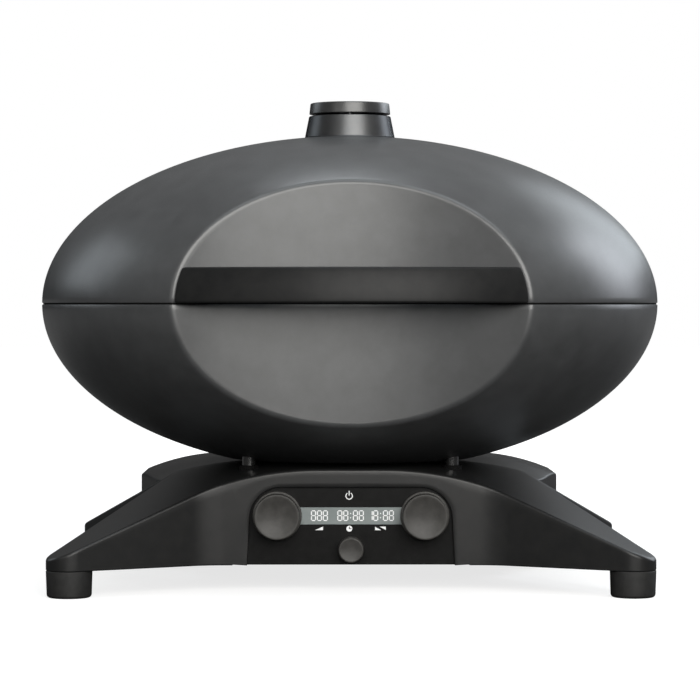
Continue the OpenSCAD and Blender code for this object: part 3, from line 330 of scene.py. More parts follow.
coolTint, warmTint = (0.97, 1.0, 1.04), (1.03, 1.0, 0.95)
finishes = dict(
    shell=castMaterial("shellCoating", 42, 900, grey(0.037, coolTint), grey(0.051, coolTint),
                       gloss=(0.3, 0.39), bump=(0.10, 0.25), level=0.56),
    chimney=castMaterial("chimneyCoating", 70, 1100, grey(0.089, coolTint), grey(0.106),
                         gloss=(0.31, 0.4), bump=(0.06, 0.2), metal=1.0, rimTint=grey(0.1)),
    cap=castMaterial("capCoating", 70, 1100, grey(0.018, coolTint), grey(0.026),
                     gloss=(0.28, 0.36), bump=(0.06, 0.2), level=0.6),
    handle=castMaterial("handlePlastic", 90, 1500, grey(0.008, coolTint), grey(0.012),
                        gloss=(0.34, 0.44), bump=(0.08, 0.12), level=0.125),
    base=castMaterial("basePlastic", 80, 1300, grey(0.009, coolTint), grey(0.013),
                      gloss=(0.31, 0.4), bump=(0.10, 0.15), level=0.29),
    panel=castMaterial("panelGloss", 120, 1800, grey(0.006), grey(0.009),
                       gloss=(0.26, 0.34), bump=(0.04, 0.08), level=0.08),
    knob=castMaterial("knobPlastic", 160, 1600, grey(0.032, warmTint), grey(0.048, warmTint),
                      gloss=(0.36, 0.5), bump=(0.10, 0.12), level=0.22),
    peg=castMaterial("pegCoating", 150, 1500, grey(0.009), grey(0.014),
                     gloss=(0.14, 0.22), bump=(0.04, 0.08), level=0.7),
    rubber=castMaterial("footRubber", 130, 1700, grey(0.012), grey(0.02),
                        gloss=(0.5, 0.7), bump=(0.15, 0.15), level=0.26),
    # this finish also dresses the pegs' bosses, darker than the housing they are moulded with: painted shade
    # under the body
    sealAndBossShade=castMaterial("rimSeal", 130, 1700, grey(0.004), grey(0.007),
                      gloss=(0.7, 0.85), bump=(0.15, 0.15), level=0.06),
    steel=brushedMaterial("brushedSteel", (14, 1200, 1200), grey(0.36, coolTint), grey(0.5),
                          gloss=(0.26, 0.42), bump=(0.08, 0.1)),
    pan=brushedMaterial("panSteel", (900, 20, 900), grey(0.22, warmTint), grey(0.34),
                        gloss=(0.32, 0.5), bump=(0.08, 0.1)),
    iron=castMaterial("grateIron", 120, 700, grey(0.014), grey(0.034, warmTint),
                      gloss=(0.4, 0.62), bump=(0.35, 0.4)),
    sheath=castMaterial("heatingSheath", 55, 1200, (0.035, 0.03, 0.028, 1), (0.11, 0.085, 0.07, 1),
                        gloss=(0.38, 0.6), bump=(0.12, 0.15), metal=0.6),
    board=castMaterial("circuitBoard", 260, 800, (0.01, 0.07, 0.03, 1), (0.03, 0.14, 0.06, 1),
                       gloss=(0.3, 0.45), bump=(0.1, 0.1)),
    ceramic=castMaterial("ceramic", 150, 900, (0.66, 0.63, 0.55, 1), (0.78, 0.76, 0.7, 1),
                         gloss=(0.35, 0.55), bump=(0.1, 0.15)),
    glass=castMaterial("displayGlass", 60, 2400, (0.15, 0.175, 0.175, 1), (0.19, 0.215, 0.215, 1),
                       gloss=(0.3, 0.36), bump=(0.02, 0.05), level=0.4),
    dark=castMaterial("displayDark", 160, 1500, grey(0.012), grey(0.02),
                      gloss=(0.4, 0.5), bump=(0.05, 0.1), level=0.4),
    ink=castMaterial("panelInk", 300, 2500, grey(0.74, coolTint), grey(0.82),
                     gloss=(0.4, 0.55), bump=(0.03, 0.05), level=0.4),
)
print("stage: materials made,", len(finishes))


# the lens-shaped body: lid and bowl share one pair of formulas
bodyShape = dict(
    radius=290, rise=158, wall=5, seamGap=1.4, scoopRadius=380, scoopDepth=78, backDepth=40,
    bowlDepth=145, neckHole=32, rimRound=3.0, innerRound=0.4, lipRound=0.7,
    columns=132, faceColumns=40, backRows=30, rimRows=22, crownRows=34, floorRings=8,
)
seamZ = (nodeBox("lid_shell")[0][2] + nodeBox("lower_shell")[1][2]) / 2
scoopFace = bodyShape["radius"] - bodyShape["scoopDepth"]
scoopY = -(scoopFace + bodyShape["scoopRadius"])
backFace = bodyShape["radius"] - bodyShape["backDepth"]
seamLow = bodyShape["seamGap"] / 2


def bodyRho(h, d):
    # rho = (R - d) sqrt(1 - (h / (rise - d))^2): radius of the body, moved inwards by d, at height h
    s = bodyShape
    return (s["radius"] - d) * np.sqrt(np.maximum(1 - (h / (s["rise"] - d)) ** 2, 0))


def cutTop(bodyIn, face):
    # height at which the body's radius has shrunk to the distance of a cut face
    s = bodyShape
    return (s["rise"] - bodyIn) * np.sqrt(1 - (face / (s["radius"] - bodyIn)) ** 2)


def rimPoint(share, bodyIn, scoopIn):
    # where the body meets the scoop: x^2 + y^2 = rho^2 and x^2 + (y - scoopY)^2 = scoop radius^2
    h = seamLow + share * (cutTop(bodyIn, scoopFace - scoopIn) - seamLow)
    rho = bodyRho(h, bodyIn)
    reach = bodyShape["scoopRadius"] + scoopIn
    y = (rho ** 2 - reach ** 2 + scoopY ** 2) / (2 * scoopY)
    return np.sqrt(np.maximum(rho ** 2 - y ** 2, 0)), y, h


def backPoint(share, bodyIn, backIn):
    # where the body meets the flat back: x^2 + y^2 = rho^2 at y = back face
    h = seamLow + share * (cutTop(bodyIn, backFace - backIn) - seamLow)
    rho = bodyRho(h, bodyIn)
    y = backFace - backIn + 0 * h
    return np.sqrt(np.maximum(rho ** 2 - y ** 2, 0)), y, h


def edgePoints(pointOf, face, h, d, soft):
    # where an edge's rounding starts on the body, the sharp corner, and where it ends on the cut face
    share = np.clip((h - seamLow) / (cutTop(d, face - d - soft) - seamLow), 0, 1)
    return pointOf(share, d, d + soft), pointOf(share, d, d), pointOf(share, d + soft, d)


def softEdge(first, corner, last, steps=6):
    # rounded edge between two faces: the curve (1-t)^2 A + 2t(1-t) B + t^2 C on every row
    t = np.linspace(0, 1, steps)[None, :, None]
    a, b, c = (np.stack(p, -1)[:, None, :] for p in (first, corner, last))
    return (1 - t) ** 2 * a + 2 * t * (1 - t) * b + t ** 2 * c


def shellLevels(d, soft, endHeight):
    # row heights: close together where the flat back and the scoop end
    s = bodyShape
    rise = s["rise"] - d
    low = seamLow + s["lipRound"]
    backTop = cutTop(d, backFace - d - soft)
    rimTop = cutTop(d, scoopFace - d - soft)
    backSwing, rimSwing = (np.sin(np.linspace(0, np.pi / 2, s[key])) for key in ("backRows", "rimRows"))
    crown = np.linspace(np.arcsin(rimTop / rise), np.arcsin(endHeight / rise), s["crownRows"])
    return np.concatenate([
        low + (backTop - low) * backSwing,
        backTop + (rimTop - backTop) * rimSwing[1:],
        rise * np.sin(crown)[1:]])


def halfShell(endOuter, endInner, floor):
    # rows run down the inside to the seam, round the lip and up the outside; columns run from scoop to back
    s = bodyShape
    e, wall = s["lipRound"], s["wall"]
    outer = shellLevels(0, s["rimRound"], endOuter)
    inner = shellLevels(wall, s["innerRound"], endInner)
    count = len(outer)
    lipIn = [wall - bevelShare * e, wall - e, e, bevelShare * e]
    lipUp = e * np.array([bevelShare, 0, 0, bevelShare])
    d = np.concatenate([np.full(count, wall), lipIn, np.zeros(count)])
    h = np.concatenate([inner[::-1], seamLow + lipUp, outer])
    soft = s["rimRound"] + (s["innerRound"] - s["rimRound"]) * d / wall
    backRows, rimRows = s["backRows"], s["backRows"] + s["rimRows"] - 1
    rims = slice(count - rimRows, count + len(lipIn) + rimRows)
    backs = slice(count - backRows, count + len(lipIn) + backRows)
    rimA, rimB, rimC = edgePoints(rimPoint, scoopFace, h[rims], d[rims], soft[rims])
    backA, backB, backC = edgePoints(backPoint, backFace, h[backs], d[backs], soft[backs])
    front = np.zeros(len(h))
    front[rims] = np.arctan2(rimA[0], -rimA[1])
    back = np.full(len(h), np.pi)
    back[backs] = np.arctan2(backA[0], -backA[1])
    u = np.linspace(0, 1, s["columns"])[None, :]
    angle = front[:, None] + u * (back - front)[:, None]
    rho = bodyRho(h, d)[:, None]
    curved = np.stack([rho * np.sin(angle), -rho * np.cos(angle), h[:, None] + 0 * angle], -1)
    across = np.linspace(0, 1, s["faceColumns"])[None, :]
    x = rimC[0][:, None] * across
    y = scoopY + np.sqrt((s["scoopRadius"] + d[rims, None]) ** 2 - x ** 2)
    scoop = np.stack([x, y, rimC[2][:, None] + 0 * x], -1)
    x = backC[0][:, None] * across
    flat = np.stack([x, backC[1][:, None] + 0 * x, backC[2][:, None] + 0 * x], -1)
    made = [patch(curved, closeRows=not floor), patch(softEdge(rimA, rimB, rimC)), patch(scoop),
            patch(softEdge(backA, backB, backC)), patch(flat)]
    if floor:
        share = np.linspace(1, 0, s["floorRings"] + 1)[:, None, None]
        made += [patch(row[None] * np.concatenate([share, share, 1 + 0 * share], -1))
                 for row in (curved[-1], curved[0])]
    return made + mirrorX(made)


def neckHeight(d):
    # height of the lid, moved inwards by d, at the edge of the chimney's hole
    s = bodyShape
    return (s["rise"] - d) * math.sqrt(1 - (s["neckHole"] / (s["radius"] - d)) ** 2)


lidPatches = halfShell(neckHeight(0), neckHeight(bodyShape["wall"]), floor=False)
makePiece("lidShell", standAt(lidPatches, seamZ), "shell", "lid", ["lid_shell"])
bowlPatches = halfShell(bodyShape["bowlDepth"], bodyShape["bowlDepth"] - bodyShape["wall"], floor=True)
makePiece("lowerShell", standAt(bowlPatches, seamZ, up=-1), "shell", "base", ["lower_shell"])


# seal between the two shells
sealShape = dict(outer=1.1, inner=3.8, clear=0.02, scoopColumns=48, sideColumns=120)


def sealLoop(s, d):
    # the body's outline at the seam, moved inwards by d: scoop, right side, flat back, left side
    x, y, _ = rimPoint(np.zeros(1), d, d)
    backX, backY, _ = backPoint(np.zeros(1), d, d)
    across = x[0] * np.linspace(-1, 1, s["scoopColumns"])
    scoop = np.stack([across, scoopY + np.sqrt((bodyShape["scoopRadius"] + d) ** 2 - across ** 2)], -1)
    angle = np.linspace(np.arctan2(x[0], -y[0]), np.arctan2(backX[0], -backY[0]), s["sideColumns"])
    side = bodyRho(seamLow, d) * np.stack([np.sin(angle), -np.cos(angle)], -1)
    return np.concatenate([scoop[:-1], side, side[::-1][:-1] * np.array([-1, 1])])


def sealBand(s):
    # the outline carried round a flat rectangle
    top = seamLow - s["clear"]
    outer, inner = sealLoop(s, s["outer"]), sealLoop(s, s["inner"])
    rows = [raised(outer, -top), raised(outer, top), raised(inner, top), raised(inner, -top)]
    return [patch(np.stack(rows), closeRows=True, closeCols=True)]


makePiece("rimSeal", standAt(sealBand(sealShape), seamZ), "sealAndBossShade", "base", ["rim_seal"])
print("stage: body shells and seal made")


# handle bar: a rounded section carried round the body's curve, its ends cut to the scoop
handleShape = dict(height=31, thickness=15, pad=2.2, low=0.5, edge=2.0, end=1.2, step=2.5, columns=140,
                   endColumns=5)


def handleBar(s):
    # the point at depth d and height h turns by a, up to the scoop: x = rho sin a, y = -rho cos a
    low, high, deep, edge = s["low"], s["low"] + s["height"], s["thickness"], s["edge"]
    corners = [(0, low, edge), (deep, low, edge), (deep, high, edge), (0, high, edge)]
    section = refine(softPath(corners, closed=True, arcSteps=7), s["step"])
    normal = outward(section)
    lift = np.linspace(0, np.pi / 2, s["endColumns"])
    endIn, endBack = s["end"] * (1 - np.cos(lift)), s["end"] * (1 - np.sin(lift))
    endShare = np.ones(s["endColumns"])
    inset = np.concatenate([endIn[::-1], np.zeros(s["columns"]), endIn])
    back = np.concatenate([endBack[::-1], np.full(s["columns"], s["end"]), endBack])
    share = np.concatenate([-endShare, np.linspace(-1, 1, s["columns"] + 2)[1:-1], endShare])
    d = section[:, :1] - normal[:, :1] * inset
    h = section[:, 1:] - normal[:, 1:] * inset
    rho = bodyRho(h, d)
    reach = bodyShape["scoopRadius"] - s["pad"]
    y = (rho ** 2 - reach ** 2 + scoopY ** 2) / (2 * scoopY)
    angle = share * (np.arctan2(np.sqrt(rho ** 2 - y ** 2), -y) - back / rho)
    bar = np.stack([rho * np.sin(angle), -rho * np.cos(angle), h], -1)
    return [patch(bar, closeRows=True), capRings(bar[:, 0]), capRings(bar[:, -1])]


makePiece("handleGrip", standAt(handleBar(handleShape), seamZ), "handle", "lid",
          ["handle_grip"])


# chimney and its cap
chimneyShape = dict(
    foot=42.6, neck=38.5, top=177, bore=28, spigot=31.5, flare=45.6, fillet=2.0, edge=0.9,
    flareSink=0.3, footLift=0.1, spigotDepth=9, spigotStep=2, turns=144,
)
capShape = dict(
    rim=38.3, low=179, height=10.5, taper=1.1, edge=1.2, hollow=32.6, hollowTop=182, crown=0.3,
    hollowRound=0.8, hollowLip=0.4, rimLip=0.5, turns=144,
)


def chimneyProfile(s):
    # the lid's height at each radius: rise sqrt(1 - (r / R)^2)
    radii = np.array([s["flare"], s["foot"], s["spigot"]])
    flareTop, footTop, spigotTop = bodyShape["rise"] * np.sqrt(1 - (radii / bodyShape["radius"]) ** 2)
    spigotLow = spigotTop - s["spigotDepth"]
    return softPath([
        (s["flare"], flareTop - s["flareSink"]), (s["foot"], footTop + s["footLift"], s["fillet"]),
        (s["neck"], s["top"], s["edge"]), (s["bore"], s["top"], s["edge"]), (s["bore"], spigotLow),
        (s["spigot"], spigotLow), (s["spigot"], spigotTop - s["spigotStep"])], closed=True, arcSteps=8)


def capProfile(s):
    # a flat cup: hollow below, slightly crowned above
    top = s["low"] + s["height"]
    return softPath([
        (0, s["hollowTop"]), (s["hollow"], s["hollowTop"], s["hollowRound"]),
        (s["hollow"], s["low"], s["hollowLip"]), (s["rim"], s["low"], s["rimLip"]),
        (s["rim"] - s["taper"], top - s["crown"], s["edge"]), (0, top)], arcSteps=8)


tube = patch(lathe(chimneyProfile(chimneyShape), chimneyShape["turns"]), closeRows=True, closeCols=True)
makePiece("chimneyTube", standAt([tube], seamZ), "chimney", "lid", ["chimney_tube"])
cover = patch(lathe(capProfile(capShape), capShape["turns"]), closeCols=True)
makePiece("chimneyCap", standAt([cover], seamZ), "cap", "damper", ["chimney_cap"])
print("stage: handle and chimney made")


# base: four splayed legs, a raised rear deck and the panel's recess in the front wall
baseShape = dict(
    top=110, bottom=24, wall=4, footX=248, footY=198, footRadius=20.5, wallY=156, wallHalf=128, rearTuck=1.0,
    notchX=165, notchFillet=12, bendFillet=60, legTurn=20, slopeStart=80, slopeBend=260, slopeAngle=21.5,
    legEdge=2.6, lip=0.7, skinDepth=7, frontHalf=106, frontMargin=20, underDeck=0.4, underRun=30,
    step=4, frontColumns=54, edgeRows=6, topRings=45,
)
deckShape = dict(
    half=204.5, flat=113, bend=225, front=-20, frontRound=3, inset=4, waistX=178.5, waistY=32, waistRound=20,
    side=105, sideRound=10, rearRound=1.5, edge=1.6, sink=1.6, blendStart=24, blendRun=80, middleY=60,
)
panelShape = dict(
    half=93, taper=4, top=94, corner=28, thickness=3, edge=0.8, reveal=4, overlap=0.5,
    hidden=6, footGap=0.3, faceEdge=0.3, step=6,
)
bossShape = dict(x=93, y=90, radius=9, height=9, flare=0.6, edge=1.2)
wallShares = np.concatenate([[0, 0.012], np.linspace(0.1, 1, 10)])  # rows of a wall, closest at its lip


def lineAngle(p, q):
    return math.atan2(q[1] - p[1], q[0] - p[0])


def legTip(s, bend):
    # corner where the two lines that touch the foot's circle meet
    foot, notch = np.array([s["footX"], s["footY"]]), np.array([s["notchX"], 0])
    a = lineAngle(notch, foot) - math.asin(s["footRadius"] / np.linalg.norm(foot - notch))
    b = lineAngle(bend, foot) + math.asin(s["footRadius"] / np.linalg.norm(foot - bend))
    run = ((bend[0] - notch[0]) * math.sin(b) - (bend[1] - notch[1]) * math.cos(b)) / math.sin(b - a)
    return notch + run * np.array([math.cos(a), math.sin(a)])


def mirrorCorners(corners):
    # the left half of an outline, in the order that continues the right half
    return [(-x, y, radius) for x, y, radius in reversed(corners)]


def legCorners(s, frontBend, rearBend):
    # the base seen from above, anticlockwise from the right notch
    tip, fillet = s["footRadius"], s["bendFillet"]
    rear = [(s["notchX"], 0, s["notchFillet"]), (*legTip(s, rearBend), tip), (*rearBend, fillet)]
    (x, y), frontTip = frontBend, legTip(s, frontBend)
    front = [(x, -y, fillet), (frontTip[0], -frontTip[1], tip)]
    return rear + mirrorCorners(rear) + mirrorCorners(front) + front


def easeIn(t):
    # 3t^2 - 2t^3: level at both ends
    return t * t * (3 - 2 * t)


def legTop(x, y, s):
    # level to slopeStart along u = |x| cos t + |y| sin t, then an arc and a straight slope
    turn, steep = math.radians(s["legTurn"]), math.radians(s["slopeAngle"])
    u = np.abs(x) * math.cos(turn) + np.abs(y) * math.sin(turn) - s["slopeStart"]
    bend = s["slopeBend"]
    arc = bend - np.sqrt(np.maximum(bend ** 2 - np.clip(u, 0, bend * math.sin(steep)) ** 2, 0))
    straight = np.maximum(u - bend * math.sin(steep), 0) * math.tan(steep)
    return s["top"] - arc - straight


def legSurface(x, y):
    # the legs' top, a hair lower under the rear deck so that the two faces never coincide
    s = baseShape
    t = np.clip((y - deckShape["front"]) / s["underRun"], 0, 1)
    return legTop(x, y, s) - s["underDeck"] * easeIn(t)


def moulding(path, topOf, s, edge):
    # rows: a ceiling inside, down to the lip, outer wall, rounded top edge, then rings to the middle
    normal = outward(path)
    wall, lip, low = s["wall"], s["lip"], s["bottom"]
    rim = topOf(*path.T) - edge
    small = bevelShare * lip
    insets = [(wall, low + s["skinDepth"]), (wall, low), (lip, low), (small, low + small)]
    rows = [raised(path - normal * inset, z) for inset, z in insets]
    rows += [raised(path, low + lip + share * (rim - low - lip)) for share in wallShares]
    for a in np.linspace(0, np.pi / 2, s["edgeRows"])[1:]:
        inner = path - normal * edge * (1 - math.cos(a))
        rows.append(raised(inner, topOf(*inner.T) - edge + edge * math.sin(a)))
    crest = rows[-1][:, :2]
    for share in np.linspace(1, 0, s["topRings"] + 1)[1:]:
        ring = crest * share
        rows.append(raised(ring, topOf(*ring.T)))
    ceiling = rows[0] * np.array([0, 0, 1])
    return np.stack([ceiling] + rows), 1 + len(insets)


def basePath(s):
    # the outline, with the front wall's points evenly spaced; also where that wall starts in it
    frontBend = np.array([s["wallHalf"], s["wallY"]])
    rearBend = np.array([s["wallHalf"], s["wallY"] - s["rearTuck"]])
    path = refine(softPath(legCorners(s, frontBend, rearBend), closed=True, arcSteps=14), s["step"])
    flatHalf = s["wallHalf"] - s["frontMargin"]
    onFront = np.isclose(path[:, 1], -s["wallY"]) & (np.abs(path[:, 0]) < flatHalf)
    side = np.linspace(-s["frontHalf"], s["frontHalf"], s["frontColumns"])
    start = np.argmax(onFront)
    front = np.stack([side, 0 * side - s["wallY"]], -1)
    return np.concatenate([path[:start], front, path[start + onFront.sum():]]), start


def panelPath(grow):
    # the recess outline seen from the front, as x and z, from lower left over the top to lower right
    p, low = panelShape, baseShape["bottom"]
    half, top, corner = p["half"] + grow, p["top"] + grow, p["corner"] + grow
    return softPath([(-half, low), (-half + p["taper"], top, corner), (half - p["taper"], top, corner),
                     (half, low)], arcSteps=12)


def frontFrame(wall, first, count):
    # front wall between the recess and the surrounding wall grid; its outer side repeats that grid's points
    columns = slice(first, first + count)
    left, right = wall[:, first], wall[::-1, first + count - 1]
    around = np.concatenate([left, wall[-1, columns][1:-1], right])
    p, y, small = panelShape, -baseShape["wallY"], bevelShare * panelShape["edge"]
    rows = [upright(spread(panelPath(grow), len(around)), y + depth) for grow, depth in (
        (0, p["reveal"] + p["overlap"]), (0, p["edge"]), (small, small), (p["edge"], 0))]
    rim = rows[-1]
    rows += [rim + (around - rim) * share for share in (0.25, 0.5, 0.75, 1)]
    return np.stack(rows)


baseOutline, firstFront = basePath(baseShape)
legGrid, firstWall = moulding(baseOutline, legSurface, baseShape, baseShape["legEdge"])
lastWall = firstWall + len(wallShares) - 1
frontCount = baseShape["frontColumns"]
# the front wall's cells are left to the frame round the recess
keepCells = np.ones((len(legGrid) - 1, len(baseOutline)), bool)
keepCells[:lastWall, firstFront:firstFront + frontCount - 1] = False
panelFrame = frontFrame(legGrid[firstWall:lastWall + 1], firstFront, frontCount)
makePiece("baseHousing", [patch(legGrid, closeCols=True, keep=keepCells), patch(panelFrame)], "base", "base",
          ["base_housing"])


def pegBoss(s, side):
    # a low round boss under a front peg, its foot sunk in the slope
    top, r = baseShape["top"], s["radius"]
    profile = softPath([(r + s["flare"], top - s["height"]), (r, top, s["edge"]), (0, top)])
    return patch(lathe(profile, turns=48) + np.array([side * s["x"], -s["y"], 0]), closeCols=True)


# painted shade: the bosses are part of the housing but take the seal's darker, matt finish, as the shade
# under the body
makePiece("pegBosses", [pegBoss(bossShape, side) for side in (-1, 1)], "sealAndBossShade", "base",
          ["base_housing"])


def deckPath(s):
    # the raised deck seen from above: its own sides, and the base's rear wall
    b = baseShape
    bend = np.array([b["wallHalf"], b["wallY"]])
    wing = legTip(b, bend) - bend
    rearY = b["wallY"] + (s["half"] - b["wallHalf"]) * wing[1] / wing[0]
    right = [(b["notchX"] - s["inset"], s["front"], s["frontRound"]),
             (s["waistX"], s["waistY"], s["waistRound"]), (s["half"], s["side"], s["sideRound"]),
             (s["half"], rearY, s["rearRound"]), (b["wallHalf"], b["wallY"], b["bendFillet"])]
    return refine(softPath(right + mirrorCorners(right), closed=True, arcSteps=12), b["step"])


def deckTop(x, s):
    # level across the middle, then falling along an arc
    over = np.maximum(np.abs(x) - s["flat"], 0)
    return baseShape["top"] - s["bend"] + np.sqrt(s["bend"] ** 2 - over ** 2)


def deckSurface(x, fromMiddle):
    # leaves the legs' slope at blendStart and reaches its own height blendRun further back
    s = deckShape
    y = fromMiddle + s["middleY"]
    t = np.clip((y - s["blendStart"]) / s["blendRun"], 0, 1)
    low = legTop(x, y, baseShape) - s["sink"] * (1 - t)
    return low + (np.maximum(deckTop(x, s), low) - low) * easeIn(t)


middle = np.array([0, deckShape["middleY"], 0])  # the rings of the deck's top close here
deckGrid, _ = moulding(deckPath(deckShape) - middle[:2], deckSurface, baseShape, deckShape["edge"])
makePiece("baseDeck", [patch(deckGrid + middle, closeCols=True)], "base", "base",
          ["base_housing"])
print("stage: base made")


# feet
footShape = dict(radius=20.5, taper=0.8, height=23.7, edge=3.0, shoulder=0.8, recess=6, recessDepth=14,
                 recessRound=0.6, recessLip=0.8)


def footProfile(s):
    # down the screw's recess, out across the sole, up the side and in over the top
    return softPath([
        (0, s["recessDepth"]), (s["recess"], s["recessDepth"], s["recessRound"]),
        (s["recess"], 0, s["recessLip"]), (s["radius"] - s["taper"], 0, s["edge"]),
        (s["radius"], s["height"], s["shoulder"]), (0, s["height"])], arcSteps=8)


for name in ("foot_front_left", "foot_front_right", "foot_rear_left", "foot_rear_right"):
    foot = lathe(footProfile(footShape), turns=72) + nodeMiddle(name) * np.array([1, 1, 0])
    makePiece(name.replace("_", "."), [patch(foot, closeCols=True)], "rubber", "base", [name])


# control panel, display and printed signs
panelFace = nodeBox("control_panel")[0][1]
windowShape = dict(corner=1, seat=0.05, edge=0.25, proud=0.3)


def flatPlate(path, depthRows):
    # front view outline carried through rows of (inset, y), then closed at both ends
    normal = outward(path)
    grid = np.stack([upright(path - normal * inset, y) for inset, y in depthRows])
    return [patch(grid, closeCols=True), capRings(grid[0]), capRings(grid[-1])]


def panelPlate(s):
    # the recess outline, larger by what the housing hides
    outer = panelPath(s["hidden"])
    outer[[0, -1], 1] = baseShape["bottom"] + s["footGap"]
    edge = s["faceEdge"]
    return flatPlate(refine(outer[::-1], s["step"]),
                     [(0, panelFace + s["thickness"]), (0, panelFace + edge), (edge, panelFace)])


def windowPane(s):
    (left, _, low), (right, back, high) = nodeBox("display_window")
    corners = [(x, z, s["corner"]) for x, z in ((left, low), (right, low), (right, high), (left, high))]
    return flatPlate(softPath(corners, closed=True, arcSteps=5),
                     [(0, back), (0, panelFace - s["seat"]), (s["edge"], panelFace - s["proud"])])


makePiece("controlPanel", panelPlate(panelShape), "panel", "base", ["control_panel"])
makePiece("displayWindow", windowPane(windowShape), "glass", "base", ["display_window"])

# lit figures: centres of the full ones, of the one that shows two bars, and of the colons
digitShape = dict(
    height=9.6, width=4.6, stroke=0.95, gap=0.22, middle=68.3, lift=0.42, dot=0.55, dotRise=1.9,
    full=(-33.5, -28.2, -22.9, -9.9, -4.6, 4.0, 9.3, 22.2, 30.9, 36.2), one=17.2, colons=(-0.3, 26.5),
)
# printed signs: a wedge is its corner, its run and its rise
signShape = dict(
    thickness=0.1, lift=0.12, handLift=0.06,
    wedges=((-25.0, 55.3, -7.4, 3.1), (21.6, 55.2, 5.6, 3.0), (31.2, 58.4, -5.6, -3.0)),
)
power = dict(x=-1.6, z=85.9, radius=2.9, stroke=0.8, barLow=0.4, barHigh=4.6, start=120, stop=420)
clock = dict(x=-1.4, z=56.6, radius=2.7, hand=0.7, reach=1.8)


def solidSign(outlines, front):
    # thin raised shapes: every outline (n, 2) in x and z gets both faces and sides
    made = []
    for outline in outlines:
        loop, behind = upright(outline, front), upright(outline, front + signShape["thickness"])
        made += [patch(np.stack([behind, loop]), closeCols=True), capRings(loop, rings=1),
                 capRings(behind, rings=1)]
    return made


def segmentOutline(a, b, stroke, gap):
    # six-cornered bar from a to b with pointed ends
    run = (b - a) / np.linalg.norm(b - a)
    side = np.array([-run[1], run[0]]) * stroke / 2
    a, b = a + run * gap, b - run * gap
    tip = run * stroke / 2
    return np.stack([a, a + tip - side, b - tip - side, b, b - tip + side, a + tip + side])


def digitOutlines(s, x, lit="abcdefg"):
    # a seven-segment figure centred on x
    w, t = s["width"] / 2 - s["stroke"] / 2, s["height"] / 2 - s["stroke"] / 2
    corner = {key: np.array([x + u * w, s["middle"] + v * t]) for key, (u, v) in dict(
        p=(-1, 1), q=(1, 1), r=(-1, 0), s=(1, 0), u=(-1, -1), v=(1, -1)).items()}
    ends = dict(a="pq", b="qs", c="sv", d="uv", e="ru", f="pr", g="rs")
    return [segmentOutline(corner[ends[k][0]], corner[ends[k][1]], s["stroke"], s["gap"]) for k in lit]


def dotOutline(x, z, radius, sides=10):
    angle = np.arange(sides) * 2 * np.pi / sides
    return np.stack([x + radius * np.cos(angle), z + radius * np.sin(angle)], -1)


def displayOutlines(s):
    made = [outline for x in s["full"] for outline in digitOutlines(s, x)] + digitOutlines(s, s["one"], "bc")
    return made + [dotOutline(x, s["middle"] + rise, s["dot"])
                   for x in s["colons"] for rise in (-s["dotRise"], s["dotRise"])]


def wedgeOutline(x, z, run, rise):
    return np.array([[x + run, z], [x, z], [x, z + rise]])


def powerBar(s):
    half = s["stroke"] / 2
    corners = [[-half, s["barLow"]], [half, s["barLow"]], [half, s["barHigh"]], [-half, s["barHigh"]]]
    return np.array(corners) + np.array([s["x"], s["z"]])


def powerRing(s, front, steps=28):
    # an open ring: its outer and its inner arc, joined on the face, behind it and along both sides
    angle = np.radians(np.linspace(s["start"], s["stop"], steps))
    arc = np.stack([np.cos(angle), np.sin(angle)], -1)
    both = np.stack([arc * (s["radius"] + side * s["stroke"] / 2) for side in (1, -1)])
    both = both + np.array([s["x"], s["z"]])
    loop, behind = upright(both, front), upright(both, front + signShape["thickness"])
    return [patch(loop), patch(behind)] + [patch(np.stack([loop[k], behind[k]])) for k in (0, 1)]


def clockHands(s):
    # two bars from the middle, to the right and up
    w, run = s["hand"] / 2, s["reach"]
    right = np.array([[-w, -w], [run, -w], [run, w], [w, w]])
    up = np.array([[-w, -w], [w, w], [w, run], [-w, run]])
    return [bar + np.array([s["x"], s["z"]]) for bar in (right, up)]


makePiece("displayDigits", solidSign(displayOutlines(digitShape), panelFace - digitShape["lift"]), "ink",
          "base")
inkFace = panelFace - signShape["lift"]
printed = [wedgeOutline(*wedge) for wedge in signShape["wedges"]]
printed += [powerBar(power), dotOutline(clock["x"], clock["z"], clock["radius"], sides=28)]
makePiece("panelSigns", solidSign(printed, inkFace) + powerRing(power, inkFace), "ink", "base")
makePiece("clockHands", solidSign(clockHands(clock), inkFace - signShape["handLift"]), "panel", "base")
print("stage: panel and display made")


# knobs and push button
knobShape = dict(
    radius=20.4, flare=1.6, clear=1.2, skirt=7, groove=1.6, waist=1.4, length=23, edge=0.9, rim=2.0, dish=3.2,
    skirtTaper=0.3, taper=0.2, backRound=0.4, skirtRound=0.9, grooveRound=0.2, shoulder=0.5,
)
buttonShape = dict(radius=11.6, taper=0.3, start=3, length=12, edge=1.4, rim=1.6, dish=1.2, backRound=0.5,
                   stemRadius=3.4, stemBack=-8, stemFront=4, stemRound=0.3)


def dished(side, s, top, steps=14):
    # a side profile with its hollow face: z falls from the rim to the middle along a parabola
    reach = s["radius"] - s["rim"]
    r = np.linspace(reach, 0, steps)[1:]
    return np.concatenate([side, np.stack([r, top - s["dish"] * (1 - (r / reach) ** 2)], -1)])


def knobProfile(s):
    # skirt, groove, barrel and hollow face
    r, top = s["radius"], s["length"]
    skirt, waist, barrel = r + s["flare"], r - s["waist"], s["skirt"] + s["groove"]
    side = softPath([
        (0, s["clear"]), (skirt - s["skirtTaper"], s["clear"], s["backRound"]),
        (skirt, s["skirt"], s["skirtRound"]), (waist, s["skirt"], s["grooveRound"]),
        (waist, barrel, s["grooveRound"]), (r, barrel, s["shoulder"]),
        (r - s["taper"], top, s["edge"]), (r - s["rim"], top)], arcSteps=7)
    return dished(side, s, top)


def buttonProfile(s):
    r, top = s["radius"], s["start"] + s["length"]
    side = softPath([
        (0, s["start"]), (r, s["start"], s["backRound"]), (r - s["taper"], top, s["edge"]),
        (r - s["rim"], top)], arcSteps=7)
    return dished(side, s, top)


